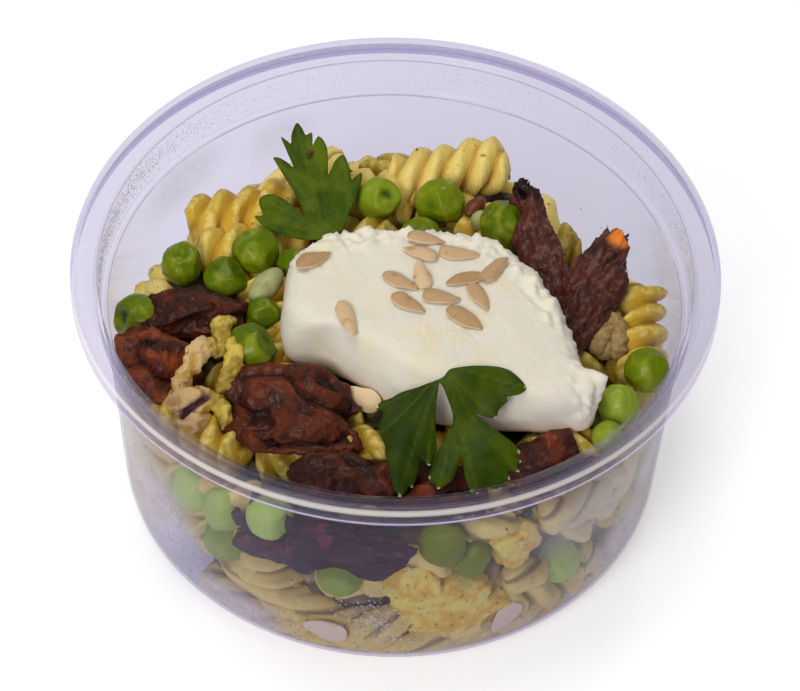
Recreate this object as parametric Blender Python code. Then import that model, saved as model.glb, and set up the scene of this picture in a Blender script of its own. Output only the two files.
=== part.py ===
"""A pasta salad in its clear round takeaway tub.

Fusilli, peas and torn chicken fill the tub up to a few millimetres under its rim. On
top lie a big soft piece of fresh cheese sprinkled with sunflower kernels, two parsley
leaves, strips of dried tomato and loose peas. +Z is up, and the origin is the middle of
the tub's flat base. Sizes are named in millimetres and turned into metres by MM.
"""

import math
import random

import bmesh
import bpy
from mathutils import Matrix, Vector, noise
from mathutils.bvhtree import BVHTree

MM = 0.001
GAP = 0.3
DRAW = random.Random(296)

# The tub: a thin moulded wall with a ledge under the neck and a turned-over rim
TUB_HEIGHT = 56.07
TUB_SIDES = 44
RIM_RADIUS = 59.0
RIM_CREST = 56.5
RIM_DROP = 4.2
NECK_TOP_RADIUS = 54.1
NECK_TOP_DROP = 2.1
NECK_FOOT_RADIUS = 53.6
NECK_FOOT_DROP = 9.0
LEDGE_RADIUS = 52.4
LEDGE_DROP = 9.6
BASE_RADIUS = 50.0
BASE_CORNER = 5.7
WALL = 0.7

# The food stands this far off the wall, which allows for the wall's flat facets
WALL_GAP = 1.7 * GAP
# Pieces of food that touch keep this gap
FOOD_GAP = 1.2 * GAP

# The heap's hidden core, which the pieces of salad are pressed into
CORE_TOP = 37.0
CORE_RADIUS = 45.5
CORE_SIDES = 22
CORE_RINGS = 5
HEAP_TRIANGLES = 7200
MOUND_CENTRE = (7.0, -8.0)
MOUND_HEIGHT = 2.2
# At the right rear wall the food has slumped: where, how wide and how deep
HOLLOW_CENTRE = (37.0, 33.0)
HOLLOW_REACH = (3.0, 15.0)
HOLLOW_DEPTH = 12.0

# Spiral pasta: three round lobes wound about one line
PASTA_RADIUS = 5.8
PASTA_ROOT = 3.7
PASTA_LOBES = 3
TIGHT_PITCH = 14.5
LOOSE_PITCH = 20.0
RINGS_PER_TURN = 7
# Across one lobe: how far round it each point of the section is, and its reach
PLUMP_LOBE = ((0.0, PASTA_ROOT), (0.34, PASTA_RADIUS), (0.66, PASTA_RADIUS))
PLAIN_LOBE = ((0.0, PASTA_ROOT + 0.4), (0.5, PASTA_RADIUS))

CHEESE_BOTTOM = 39.5
CHEESE_CENTRE = (8.0, -8.5)

KERNEL_LENGTH = 7.4
KERNEL_SIDES = 5
# A surface whose normal rises less than this counts as steep
STEEP = 0.5

# Half the thickness of a parsley leaf, thicker than the real one so that it is a solid
LEAF_HALF = 0.25

PLASTIC = ("clear_plastic", (0.80, 0.79, 0.88), 0.2)
PASTA = ("pesto_pasta", (0.72, 0.58, 0.20), 0.5)
CHEESE = ("fresh_cheese", (0.87, 0.84, 0.74), 0.6)
PEA_GREEN = ("pea_green", (0.18, 0.38, 0.05), 0.35)
TOMATO_RED = ("dried_tomato", (0.20, 0.05, 0.03), 0.45)
CHICKEN = ("torn_chicken", (0.70, 0.58, 0.36), 0.6)
PARSLEY_GREEN = ("parsley_green", (0.08, 0.22, 0.03), 0.45)


def material(look):
    """The named Principled material, made once."""
    name, colour, roughness = look
    found = bpy.data.materials.get(name)
    if found:
        return found
    made = bpy.data.materials.new(name)
    made.use_nodes = True
    shader = made.node_tree.nodes["Principled BSDF"]
    shader.inputs["Base Color"].default_value = (*colour, 1.0)
    shader.inputs["Roughness"].default_value = roughness
    shader.inputs["Metallic"].default_value = 0.0
    return made


def solid(name, mesh_edit, look=PASTA):
    """Turn a bmesh in millimetres into an object in metres with its faces outwards."""
    bmesh.ops.triangulate(mesh_edit, faces=mesh_edit.faces)
    bmesh.ops.recalc_face_normals(mesh_edit, faces=mesh_edit.faces)
    bmesh.ops.scale(mesh_edit, vec=(MM, MM, MM), verts=mesh_edit.verts)
    mesh = bpy.data.meshes.new(name)
    mesh_edit.to_mesh(mesh)
    mesh_edit.free()
    mesh.materials.append(material(look))
    mesh.shade_smooth()
    mesh.set_sharp_from_angle(angle=math.radians(40.0))
    made = bpy.data.objects.new(name, mesh)
    bpy.context.collection.objects.link(made)
    return made


def loft(rings):
    """One closed skin over a row of rings; a ring of a single point closes an end."""
    mesh_edit = bmesh.new()
    rows = [[mesh_edit.verts.new(point) for point in ring] for ring in rings]
    for low, high in zip(rows, rows[1:]):
        count = max(len(low), len(high))
        for k in range(count):
            corners = [low[k % len(low)], low[(k + 1) % len(low)]]
            corners += [high[(k + 1) % len(high)], high[k % len(high)]]
            mesh_edit.faces.new(list(dict.fromkeys(corners)))
    for row in (rows[0], rows[-1]):
        if len(row) > 2:
            mesh_edit.faces.new(row)
    return mesh_edit


def circle(radius, height, sides):
    """A level ring of points about the tub's middle line."""
    turns = [2 * math.pi * k / sides for k in range(sides)]
    return [Vector((radius * math.cos(a), radius * math.sin(a), height)) for a in turns]


def ease(low, high, value):
    """0 below low, 1 above high, and a smooth step between."""
    t = min(max((value - low) / (high - low), 0.0), 1.0)
    return t * t * (3 - 2 * t)


def inner_radius(height, clear=0.0):
    """The reach at a height of a skin that stays so far clear of the tub's inside."""
    slope = (LEDGE_RADIUS - BASE_RADIUS) / (TUB_HEIGHT - LEDGE_DROP)
    wall = BASE_RADIUS + slope * height - clear
    corner = BASE_CORNER - WALL - clear
    below = BASE_CORNER - height
    if below > 0:
        wall -= corner - math.sqrt(max(corner ** 2 - below ** 2, 0.0))
    return wall


def build_tub():
    """The turned section: up the outside, over the rim and down the inside."""
    outside = []
    for degrees in (0, 30, 60, 90):
        a = math.radians(degrees)
        radius = BASE_RADIUS + WALL - BASE_CORNER * (1 - math.sin(a))
        outside.append((radius, BASE_CORNER * (1 - math.cos(a))))
    outside += [
        (LEDGE_RADIUS + WALL, TUB_HEIGHT - LEDGE_DROP - WALL),
        (NECK_FOOT_RADIUS + WALL, TUB_HEIGHT - NECK_FOOT_DROP - WALL),
        (NECK_TOP_RADIUS + WALL, TUB_HEIGHT - NECK_TOP_DROP - WALL),
        (RIM_CREST, TUB_HEIGHT - WALL),
        (RIM_RADIUS - WALL - 0.4, TUB_HEIGHT - WALL - 0.3),
        (RIM_RADIUS - WALL, TUB_HEIGHT - RIM_DROP),
        (RIM_RADIUS, TUB_HEIGHT - RIM_DROP),
        (RIM_RADIUS, TUB_HEIGHT - 1.0),
        (RIM_RADIUS - 0.9, TUB_HEIGHT),
    ]
    inside = [
        (RIM_CREST, TUB_HEIGHT),
        (NECK_TOP_RADIUS, TUB_HEIGHT - NECK_TOP_DROP),
        (NECK_FOOT_RADIUS, TUB_HEIGHT - NECK_FOOT_DROP),
        (LEDGE_RADIUS, TUB_HEIGHT - LEDGE_DROP),
    ]
    corner = BASE_CORNER - WALL
    for degrees in (90, 60, 30, 0):
        height = WALL + corner * (1 - math.cos(math.radians(degrees)))
        radius = inner_radius(height) if degrees else BASE_RADIUS - corner
        inside.append((radius, height))
    rings = [circle(radius, height, TUB_SIDES) for radius, height in outside + inside]
    return solid("tub", loft(rings), PLASTIC)


def slump(x, y):
    """How far the food has sunk at the right rear wall."""
    off = math.hypot(x - HOLLOW_CENTRE[0], y - HOLLOW_CENTRE[1])
    return HOLLOW_DEPTH * (1 - ease(*HOLLOW_REACH, off))


def core_top(x, y):
    """The height of the core's top: nearly level, with a mound under the cheese."""
    from_mound = math.hypot(x - MOUND_CENTRE[0], y - MOUND_CENTRE[1])
    mound = MOUND_HEIGHT * (1 - ease(14.0, 27.0, from_mound))
    edge = 2.0 * ease(38.0, CORE_RADIUS, math.hypot(x, y))
    swell = 0.5 * noise.noise(Vector((x / 13, y / 13, 4.0))) * ease(14.0, 27.0, from_mound)
    return CORE_TOP + mound - edge + swell - slump(x, y)


def build_core():
    """A squat drum inside the tub with a gently uneven top."""
    floor = WALL + WALL_GAP
    rings = [[Vector((0.0, 0.0, floor))]]
    for radius, height in ((38.0, floor), (44.0, floor + 4.0), (CORE_RADIUS, 18.0)):
        rings.append(circle(radius, height, CORE_SIDES))
    for ring in range(CORE_RINGS):
        radius = (CORE_RADIUS - 0.6) * (1 - ring / CORE_RINGS)
        points = circle(radius, 0.0, CORE_SIDES)
        rings.append([Vector((p.x, p.y, core_top(p.x, p.y))) for p in points])
    rings.append([Vector((0.0, 0.0, core_top(0.0, 0.0)))])
    return solid("salad_heap", loft(rings))


def press_to_wall(mesh_edit):
    """Flatten what would pass the tub's wall or floor, as soft food is pressed there."""
    facet = math.cos(math.pi / TUB_SIDES)
    for vert in mesh_edit.verts:
        vert.co.z = max(vert.co.z, WALL + WALL_GAP)
        limit = inner_radius(vert.co.z, WALL_GAP) * facet
        reach = math.hypot(vert.co.x, vert.co.y)
        if reach > limit:
            vert.co.x *= limit / reach
            vert.co.y *= limit / reach
    return mesh_edit


def straight(start, end):
    """A straight path from start to end."""
    start, end = Vector(start), Vector(end)
    return lambda t: start.lerp(end, t)


def along_wall(degrees, span, low, high, reach):
    """A path that follows the tub's wall and climbs from low to high."""
    def point(t):
        a = math.radians(degrees + span * (t - 0.5))
        x, y, height = reach * math.cos(a), reach * math.sin(a), low + (high - low) * t
        return Vector((x, y, height - slump(x, y) * ease(14.0, 26.0, height)))
    return point


def fusillo(path, pitch, section, turn, handed):
    """A pasta spiral round a path: three lobes wound evenly, a turn to each pitch."""
    length = sum((path((k + 1) / 16) - path(k / 16)).length for k in range(16))
    steps = max(4, round(length / pitch * RINGS_PER_TURN))
    rings = []
    for i in range(steps + 1):
        t = i / steps
        ahead = (path(min(t + 0.02, 1.0)) - path(max(t - 0.02, 0.0))).normalized()
        side = ahead.cross(Vector((0, 0, 1))).normalized()
        rise = side.cross(ahead)
        end = 0.85 if i in (0, steps) else 1.0
        wound = turn + handed * 2 * math.pi * t * length / pitch
        ring = []
        for lobe in range(PASTA_LOBES):
            for part, reach in section:
                a = wound + (lobe + part) * 2 * math.pi / PASTA_LOBES
                ring.append(path(t) + reach * end * (side * math.cos(a) + rise * math.sin(a)))
        rings.append(ring)
    return press_to_wall(loft(rings))


def ball(centre, radius, sides=8, bands=5, dents=()):
    """A pea: a ball whose skin has sunk in at each dent direction."""
    centre = Vector(centre)
    rings = []
    for band in range(bands + 1):
        slope = math.pi * band / bands
        count = 1 if band in (0, bands) else sides
        ring = []
        for k in range(count):
            a = 2 * math.pi * (k + 0.5 * (band % 2)) / count
            out = Vector((math.sin(slope) * math.cos(a), math.sin(slope) * math.sin(a),
                          -math.cos(slope)))
            sink = sum(depth * ease(0.72, 1.0, out.dot(way)) for way, depth in dents)
            ring.append(centre + out * radius * (1 - sink))
        rings.append(ring)
    return loft(rings)


def crumple(centre, size, yaw=0.0, dip=0.0, bend=0.0, seed=0.0, depth=0.32,
            sides=10, bands=7):
    """A shrivelled lump: a blunt egg with lengthwise folds, dents and a bowed back."""
    rings = []
    turn = Matrix.Rotation(math.radians(yaw), 3, "Z") @ Matrix.Rotation(math.radians(dip), 3, "Y")
    for band in range(bands + 1):
        slope = math.pi * band / bands
        count = 1 if band in (0, bands) else sides
        ring = []
        for k in range(count):
            a = 2 * math.pi * (k + 0.5 * (band % 2)) / count
            out = Vector((-math.cos(slope), math.sin(slope) * math.cos(a),
                          math.sin(slope) * math.sin(a)))
            fold = 0.5 * math.cos(3 * a + 2.2 * out.x + seed)
            dent = 1.3 * noise.noise(out * 2.1 + Vector((seed, 1.3 * seed, 0.7 * seed)))
            blunt = 1.0 + 0.5 * math.sin(slope) ** 2 * abs(out.x)
            out *= blunt * (1 + depth * (fold + dent))
            point = Vector((out.x * size[0], out.y * size[1], out.z * size[2])) * 0.5
            point.z -= bend * (out.x ** 2 - 0.4)
            ring.append(turn @ point + Vector(centre))
        rings.append(ring)
    return loft(rings)


def kernel(place, facing, degrees, length=KERNEL_LENGTH, width=3.4, thick=1.7):
    """A hulled sunflower kernel: round at one end and drawn to a point at the other.

    It lies on a surface that faces the given way. Its point lies so many degrees from +X,
    seen from above, or on a steep surface from a line along that surface.
    """
    up = Vector(facing).normalized()
    turn = math.radians(degrees)
    if abs(up.z) > STEEP:
        flat = Vector((math.cos(turn), math.sin(turn), 0.0))
        along = (flat - up * flat.dot(up)).normalized()
    else:
        along = Matrix.Rotation(turn, 3, up) @ up.orthogonal()
    across = up.cross(along)
    rings = [[Vector(place) - along * length * 0.5]]
    for way, girth in ((-0.25, 0.95), (0.15, 0.85)):
        middle = Vector(place) + along * length * way
        ring = []
        for k in range(KERNEL_SIDES):
            a = 2 * math.pi * k / KERNEL_SIDES
            spoke = across * width * math.cos(a) + up * thick * math.sin(a)
            ring.append(middle + girth * 0.5 * spoke)
        rings.append(ring)
    rings.append([Vector(place) + along * length * 0.5])
    return loft(rings)


# The cheese's outline from above, where it is widest: a chunk torn off at the back
CHEESE_OUTLINE = [
    (-19.8, -11.0), (-13.0, -13.6), (-5.5, -18.5), (1.5, -23.8), (10.0, -26.8),
    (20.0, -27.4), (30.0, -27.0), (35.6, -23.6), (37.6, -16.6), (33.8, -11.5),
    (30.5, -4.0), (25.0, 4.0), (17.5, 10.2), (8.0, 11.9), (-2.0, 12.3), (-11.5, 10.8),
    (-18.6, 6.4), (-20.4, -2.0),
]
# From the bottom up: how much the outline is drawn in, and the height above the bottom
CHEESE_LEVELS = ((0.94, 0.0), (1.0, 2.0), (1.0, 7.4), (0.975, 10.0), (0.9, 11.4), (0.6, 12.1),
                 (0.3, 12.3))
CHEESE_SLOPE = 0.07

# Kernels on the cheese: x, y and the way that the point lies
KERNELS_ON_CHEESE = [
    (-15.0, 2.0, 25.0), (-8.4, -11.6, -70.0), (5.4, 7.6, -12.0), (4.4, 4.2, 165.0),
    (11.6, 4.6, -8.0), (18.0, 1.2, 52.0), (1.0, -2.6, -28.0), (4.8, -0.8, 100.0),
    (2.4, -7.6, -30.0), (12.6, -1.2, 200.0), (8.4, -5.8, -6.0), (15.2, -5.2, -62.0),
    (12.8, -10.4, -35.0),
]


def build_cheese():
    """The cheese: its outline drawn in at the foot and rounded over to a rough top."""
    middle = Vector((*CHEESE_CENTRE, 0.0))
    rings = [[middle + Vector((0, 0, CHEESE_BOTTOM))]]
    for draw_in, rise in CHEESE_LEVELS:
        ring = []
        for x, y in CHEESE_OUTLINE:
            out = Vector((x, y, 0.0)) - middle
            point = middle + out * draw_in
            tilt = CHEESE_SLOPE * (point.y - middle.y) * ease(6.0, 11.0, rise)
            rough = 0.35 * noise.noise(point * 0.3 + Vector((0, 0, rise)))
            point.z = CHEESE_BOTTOM + rise + tilt + rough * ease(0.0, 6.0, rise)
            ring.append(point)
        rings.append(ring)
    rings.append([middle + Vector((0, 0, CHEESE_BOTTOM + CHEESE_LEVELS[-1][1] + 0.2))])
    return solid("cheese", loft(rings), CHEESE)


# Loose peas on the salad: x, y, radius and how high the pea is lifted off the core
LOOSE_PEAS = [
    (-47.0, -1.6, 4.2, 0.6), (-40.0, 11.6, 3.9, 0.8), (-31.6, 7.2, 4.2, 0.5),
    (-26.2, 14.2, 4.2, 1.0), (-19.2, 11.5, 3.2, 1.0), (-3.5, 28.6, 4.4, 0.4),
    (7.9, 27.4, 4.4, 1.2), (4.3, 19.0, 4.0, 0.4), (20.8, 21.4, 5.1, 0.4),
    (22.0, 12.6, 3.1, 0.5), (46.2, -10.6, 4.1, 1.0), (41.0, -19.6, 3.8, 1.2),
    (39.2, -27.0, 3.3, 0.8), (-25.8, -12.0, 4.7, 2.2), (-24.6, -2.2, 3.4, 1.2),
]

# Dried tomato: middle, size, yaw, dip, bend and the seed of its folds
TOMATOES = {
    "tomato_1": ((-36.6, -2.6, 41.2), (19.0, 9.5, 7.0), 6.0, 0.0, 1.5, 0.4),
    "tomato_2": ((-42.4, -13.4, 40.6), (16.5, 12.5, 8.0), -28.0, 6.0, 1.0, 2.1),
    "tomato_3": ((-17.6, -24.6, 41.4), (23.0, 17.0, 8.5), -14.0, 0.0, 2.0, 3.7),
    "tomato_4": ((-7.6, -38.8, 38.8), (20.0, 10.5, 9.5), 2.0, 0.0, 1.5, 5.2),
    "tomato_5": ((10.2, -39.8, 37.6), (14.0, 9.0, 8.0), 8.0, 0.0, 1.0, 6.9),
    "tomato_6": ((27.0, -32.6, 38.2), (20.0, 9.5, 7.5), 24.0, 0.0, 0.5, 8.3),
    "tomato_7": ((27.2, 13.4, 44.2), (25.0, 6.6, 6.4), -73.0, 12.0, -0.5, 9.6),
    "tomato_8": ((36.8, 5.4, 44.0), (22.5, 9.2, 7.5), 248.5, 17.0, -0.5, 11.0),
    "tomato_9": ((-11.5, -46.2, 31.0), (28.0, 6.5, 12.0), -14.0, -4.0, 0.0, 12.4),
}

# Torn chicken: middle, size, yaw, dip, bend and the seed of its folds
CHICKEN_PIECES = {
    "chicken_1": ((-35.0, -20.8, 42.0), (7.8, 13.0, 7.0), -17.0, 0.0, 1.0, 1.2),
    "chicken_2": ((39.6, -3.0, 40.0), (8.5, 9.5, 8.0), 60.0, 0.0, 0.5, 4.4),
    "chicken_3": ((-30.0, -13.2, 43.2), (14.0, 3.4, 5.6), 95.0, 6.0, 1.0, 7.1),
}

# Parsley outlines: degrees off the way to the tip, and the length from the stalk
UPRIGHT_LEAF = [
    (-100, 3.6), (-84, 6.4), (-72, 9.8), (-64, 13.9), (-57, 13.0), (-43, 15.0), (-33, 10.0),
    (-28, 6.4), (-20, 9.0), (-17.5, 19.4), (-12, 16.4), (-9, 22.9), (-5.5, 20.6), (0, 24.7),
    (5, 19.6), (8, 20.8), (13, 18.2), (17, 12.6), (24, 16.9), (31, 13.6), (36, 12.4), (42, 14.4),
    (49, 10.2), (64, 4.6), (110, 2.2), (180, 1.6), (230, 1.8),
]
DRAPED_LEAF = [
    (-66, 4.0), (-57, 9.0), (-53, 14.4), (-40, 17.2), (-30, 20.0), (-23, 22.6), (-17, 25.4),
    (-13, 22.4), (-11, 17.8), (-8, 18.8), (-7, 8.5), (-6.8, 4.0), (-4.5, 7.5), (-4, 14.5),
    (-5, 20.8), (1, 23.2), (7, 21.6), (11, 17.3), (13, 23.2), (17, 24.4), (25, 24.6),
    (32, 23.6), (37, 23.0), (41, 20.4), (42, 11.8), (47, 13.6), (58, 12.6), (64, 10.4),
    (71, 14.2), (77, 14.9), (90, 10.0), (92, 5.0), (150, 1.4), (220, 1.4),
]


def build_leaf(name, stalk, tip_way, outline, fold, wave):
    """A parsley leaf: rings of its outline about the stalk, both faces split alike."""
    along = Vector(tip_way).normalized()
    across = Vector((1, 0, 0))
    across = (across - along * across.dot(along)).normalized()
    up = across.cross(along)
    if up.z < 0:
        up = -up
    mesh_edit = bmesh.new()

    def face_points(lift):
        rows = [[mesh_edit.verts.new(Vector(stalk) + up * lift)]]
        for part in (0.55, 1.0):
            row = []
            for degrees, reach in outline:
                a = math.radians(degrees)
                forward, sideways = reach * part * math.cos(a), reach * part * math.sin(a)
                height = fold * abs(sideways) + wave * math.sin(0.42 * sideways + 0.3 * forward)
                height *= ease(0.0, 6.0, reach * part)
                point = Vector(stalk) + along * forward + across * sideways
                row.append(mesh_edit.verts.new(point + up * (height + lift)))
            rows.append(row)
        return rows

    top, under = face_points(LEAF_HALF), face_points(-LEAF_HALF)
    count = len(outline)
    for rows in (top, under):
        for k in range(count):
            m = (k + 1) % count
            mesh_edit.faces.new((rows[0][0], rows[1][k], rows[1][m]))
            for near, far in zip(rows[1:], rows[2:]):
                mesh_edit.faces.new((near[k], far[k], far[m]))
                mesh_edit.faces.new((near[k], far[m], near[m]))
    for k in range(count):
        m = (k + 1) % count
        mesh_edit.faces.new((top[-1][k], under[-1][k], under[-1][m]))
        mesh_edit.faces.new((top[-1][k], under[-1][m], top[-1][m]))
    return solid(name, mesh_edit, PARSLEY_GREEN)


def tree_of(thing, swell=0.0):
    """A search tree of an object's mesh, swollen evenly by so many millimetres."""
    mesh_edit = bmesh.new()
    mesh_edit.from_mesh(thing.data)
    swell_mesh(mesh_edit, swell * MM)
    found = BVHTree.FromBMesh(mesh_edit)
    mesh_edit.free()
    return found


def swell_mesh(mesh_edit, amount):
    """Move every point outwards so that the faces stand off by the amount."""
    moves = [vert.normal * amount * min(vert.calc_shell_factor(), 2.0) for vert in mesh_edit.verts]
    for vert, move in zip(mesh_edit.verts, moves):
        vert.co += move


def swollen_copy(thing, amount):
    """A cutter: a copy of the object that stands off from it by the amount."""
    mesh_edit = bmesh.new()
    mesh_edit.from_mesh(thing.data)
    swell_mesh(mesh_edit, amount * MM)
    mesh = bpy.data.meshes.new("cutter")
    mesh_edit.to_mesh(mesh)
    mesh_edit.free()
    cutter = bpy.data.objects.new("cutter", mesh)
    cutter.hide_render = True
    cutter.display_type = "WIRE"
    return cutter


def gather(things):
    """A collection that holds the objects, for one Boolean."""
    group = bpy.data.collections.new("together")
    bpy.context.scene.collection.children.link(group)
    for thing in things:
        for holder in list(thing.users_collection):
            holder.objects.unlink(thing)
        group.objects.link(thing)
    return group


def apply_modifiers(thing):
    """Give the object the mesh that its modifiers make, and remove them."""
    depsgraph = bpy.context.evaluated_depsgraph_get()
    result = bpy.data.meshes.new_from_object(thing.evaluated_get(depsgraph))
    thing.modifiers.clear()
    thing.data = result


def combine(thing, others, operation):
    """Apply one Boolean with a collection, remove its objects and keep one clean body."""
    group = gather(others)
    change = thing.modifiers.new("combine", "BOOLEAN")
    change.operand_type = "COLLECTION"
    change.collection = group
    change.operation = operation
    change.solver = "MANIFOLD"
    apply_modifiers(thing)
    for other in list(group.objects):
        bpy.data.objects.remove(other)
    bpy.data.collections.remove(group)
    keep_one_body(thing)


def keep_one_body(thing):
    """Drop loose scraps and sealed hollows: only the body with the most faces stays."""
    mesh_edit = bmesh.new()
    mesh_edit.from_mesh(thing.data)
    bmesh.ops.triangulate(mesh_edit, faces=mesh_edit.faces)
    bodies = []
    seen = set()
    for start in mesh_edit.verts:
        if start in seen:
            continue
        body, edge_of_body = {start}, [start]
        while edge_of_body:
            vert = edge_of_body.pop()
            for edge in vert.link_edges:
                other = edge.other_vert(vert)
                if other not in body:
                    body.add(other)
                    edge_of_body.append(other)
        seen |= body
        bodies.append(body)
    bodies.sort(key=len)
    spare = [vert for body in bodies[:-1] for vert in body]
    bmesh.ops.delete(mesh_edit, geom=spare, context="VERTS")
    mesh_edit.to_mesh(thing.data)
    mesh_edit.free()


def crosses(thing, trees):
    """Whether the object's skin passes through any of the trees."""
    own = tree_of(thing)
    return any(own.overlap(tree) for tree in trees)


# What is tried, in turn, where a piece would cross a topping: its drop and share of length
FITTING_TRIES = ((0, 1), (1, 1), (2, 1), (3, 1), (1.5, 0.7), (3, 0.7), (4, 0.5))


def fuse_pieces(heap, makers, toppings):
    """Fuse the pieces that show to the core: each is lowered, shortened or left out."""
    trees = [tree_of(topping, 1.3 * GAP) for topping in toppings]
    pieces = []
    for make in makers:
        for drop, share in FITTING_TRIES:
            piece = solid("piece", make(drop, share))
            if not crosses(piece, trees):
                pieces.append(piece)
                break
            bpy.data.objects.remove(piece)
    combine(heap, pieces, "UNION")
    return len(pieces)


def merge_slivers(thing, triangles):
    """Collapse the shortest edges that fusing leaves, down to so many triangles."""
    change = thing.modifiers.new("merge", "DECIMATE")
    change.ratio = triangles / len(thing.data.polygons)
    apply_modifiers(thing)


# Pasta that shows from above: its two ends
TOP_PASTA = [
    ((-39.5, 25.4, 36.6), (-9.0, 33.0, 37.6)),
    ((-1.5, 36.0, 38.2), (20.5, 40.6, 41.2)),
    ((-14.0, 35.5, 36.6), (3.0, 32.0, 36.6)),
    ((44.8, 11.0, 37.6), (44.6, -10.0, 35.6)),
    ((-41.5, -20.0, 35.2), (-27.0, -33.5, 36.2)),
    ((-24.0, -29.6, 36.2), (1.0, -29.6, 35.8)),
    ((14.0, -39.0, 34.6), (37.0, -25.0, 35.4)),
    ((-24.6, 10.0, 36.8), (-21.4, -14.0, 35.2)),
    ((12.6, 30.0, 37.0), (22.0, 10.0, 36.4)),
    ((-37.5, 17.4, 35.6), (-17.0, 22.5, 36.8)),
]
# Short ends of pasta that fill the top between the longer ones, on a spiral of spots
FILL_SPOTS = 20
FILL_LENGTH = 13.0
FILL_TURN = math.pi * (3 - math.sqrt(5))
# Rows of pasta pressed against the wall: height, how many, first angle and climb
WALL_ROWS = ((9.6, 6, -118.0, -4.0), (26.0, 6, -144.0, 5.0))
WALL_SPAN = 44.0
WALL_REACH = 45.4
# How far out a lump behind the wall reaches before the wall flattens it
WALL_TOUCH = 51.0
KERNEL_TOUCH = 50.2
# Peas that show through the wall: degrees round the tub and height
WALL_PEAS = [
    (-138.0, 27.5), (-128.0, 29.0), (-116.0, 34.0), (-100.0, 23.0), (-72.0, 27.5), (-48.0, 14.0),
    (-21.0, 22.0), (-128.0, 20.0), (24.0, 26.0), (47.0, 13.0), (-78.0, 32.5), (103.0, 28.0),
    (131.0, 12.6), (152.0, 26.0), (176.0, 20.4),
]
# Torn chicken behind the wall: degrees, height, and its size across, inwards and up
WALL_CHICKEN = [
    (-78.0, 16.5, (17.0, 7.0, 14.0)), (-62.5, 28.5, (9.0, 6.0, 9.0)),
    (62.0, 20.0, (15.0, 7.0, 12.0)), (168.0, 27.0, (12.0, 6.0, 9.0)),
]
# Kernels behind the wall: degrees, height and tilt
WALL_KERNELS = [(-102.5, 9.0, -50.0), (-64.0, 9.5, 11.0), (18.0, 14.0, 60.0), (120.0, 22.0, 20.0)]


def polar(degrees, reach, height):
    """A point by its angle round the tub, its distance from the middle and its height."""
    a = math.radians(degrees)
    return Vector((reach * math.cos(a), reach * math.sin(a), height))


def wall_chicken(share, degrees, height, size):
    """Torn chicken against the wall, at a share of its size."""
    place = polar(degrees, WALL_TOUCH - 0.5 * size[1], height)
    scaled = [share * part for part in size]
    return crumple(place, scaled, yaw=degrees + 90, seed=degrees, depth=0.2, sides=9, bands=6)


def wall_pea(share, degrees, height, radius):
    """A pea against the wall."""
    return ball(polar(degrees, WALL_TOUCH - radius, height), radius * share)


def wall_kernel(share, degrees, height, tilt):
    """A sunflower kernel lying flat against the wall, a little thick so that it shows."""
    place = polar(degrees, KERNEL_TOUCH, height)
    return kernel(place, polar(degrees, 1.0, 0.0), tilt, length=6.2 * share, width=4.4, thick=3.0)


def piece_makers():
    """One maker for each fused piece, largest first; it takes a drop and a share of length."""
    makers = []

    def add_pasta(path, pitch, section):
        turn, handed = DRAW.uniform(0, 2), DRAW.choice((1, -1))

        def make(drop, share):
            def moved(t):
                return path(0.5 + (t - 0.5) * share) - Vector((0, 0, drop))
            return fusillo(moved, pitch, section, turn, handed)
        makers.append(make)

    def add_lump(shape, *values):
        def make(drop, share):
            lump = shape(share, *values)
            bmesh.ops.translate(lump, vec=(0, 0, -drop), verts=lump.verts)
            return press_to_wall(lump)
        makers.append(make)

    for start, end in TOP_PASTA:
        add_pasta(straight(start, end), TIGHT_PITCH, PLUMP_LOBE)
    for height, count, first, climb in WALL_ROWS:
        for k in range(count):
            slope = climb + DRAW.uniform(-1.6, 1.6)
            place = first + 360.0 * k / count + DRAW.uniform(-2, 2)
            path = along_wall(place, WALL_SPAN, height - slope, height + slope, WALL_REACH)
            add_pasta(path, LOOSE_PITCH, PLAIN_LOBE)
    for spot in range(FILL_SPOTS):
        reach = (CORE_RADIUS - 4.0) * math.sqrt((spot + 0.5) / FILL_SPOTS)
        middle = polar(math.degrees(spot * FILL_TURN), reach, 0.0)
        middle.z = core_top(middle.x, middle.y) - 2.0
        half = polar(DRAW.uniform(0, 180), 0.5 * FILL_LENGTH, DRAW.uniform(-1.5, 1.5))
        add_pasta(straight(middle - half, middle + half), TIGHT_PITCH, PLAIN_LOBE)
    for degrees, height, size in WALL_CHICKEN:
        add_lump(wall_chicken, degrees, height, size)
    for degrees, height in WALL_PEAS:
        add_lump(wall_pea, degrees, height, DRAW.uniform(4.1, 4.6))
    for degrees, height, tilt in WALL_KERNELS:
        add_lump(wall_kernel, degrees, height, tilt)
    return makers


def keep_apart(peas):
    """Move loose peas off each other and off the wall until each pair is clear."""
    spots = [Vector((x, y, core_top(x, y) + radius + lift)) for x, y, radius, lift in peas]
    sizes = [pea[2] for pea in peas]
    for _ in range(40):
        for i, one in enumerate(spots):
            for j in range(i):
                apart = one - spots[j]
                short = sizes[i] + sizes[j] + 1.5 * GAP - apart.length
                if short > 0:
                    push = apart.normalized() * short * 0.5
                    one += push
                    spots[j] -= push
            reach = math.hypot(one.x, one.y)
            limit = inner_radius(one.z) - 1.5 * GAP - sizes[i]
            if reach > limit:
                one.x *= limit / reach
                one.y *= limit / reach
    return zip(spots, sizes)


def random_way():
    """A seeded direction for a dent in a pea."""
    way = Vector((DRAW.gauss(0, 1), DRAW.gauss(0, 1), DRAW.gauss(0, 1)))
    return way.normalized()


def build_peas():
    """The loose peas, each shrunk in at two or three places."""
    peas = []
    for number, (place, radius) in enumerate(keep_apart(LOOSE_PEAS), 1):
        dents = [(random_way(), DRAW.uniform(0.1, 0.26)) for _ in range(3)]
        peas.append(solid(f"pea_{number:02d}", ball(place, radius, dents=dents), PEA_GREEN))
    return peas


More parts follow.
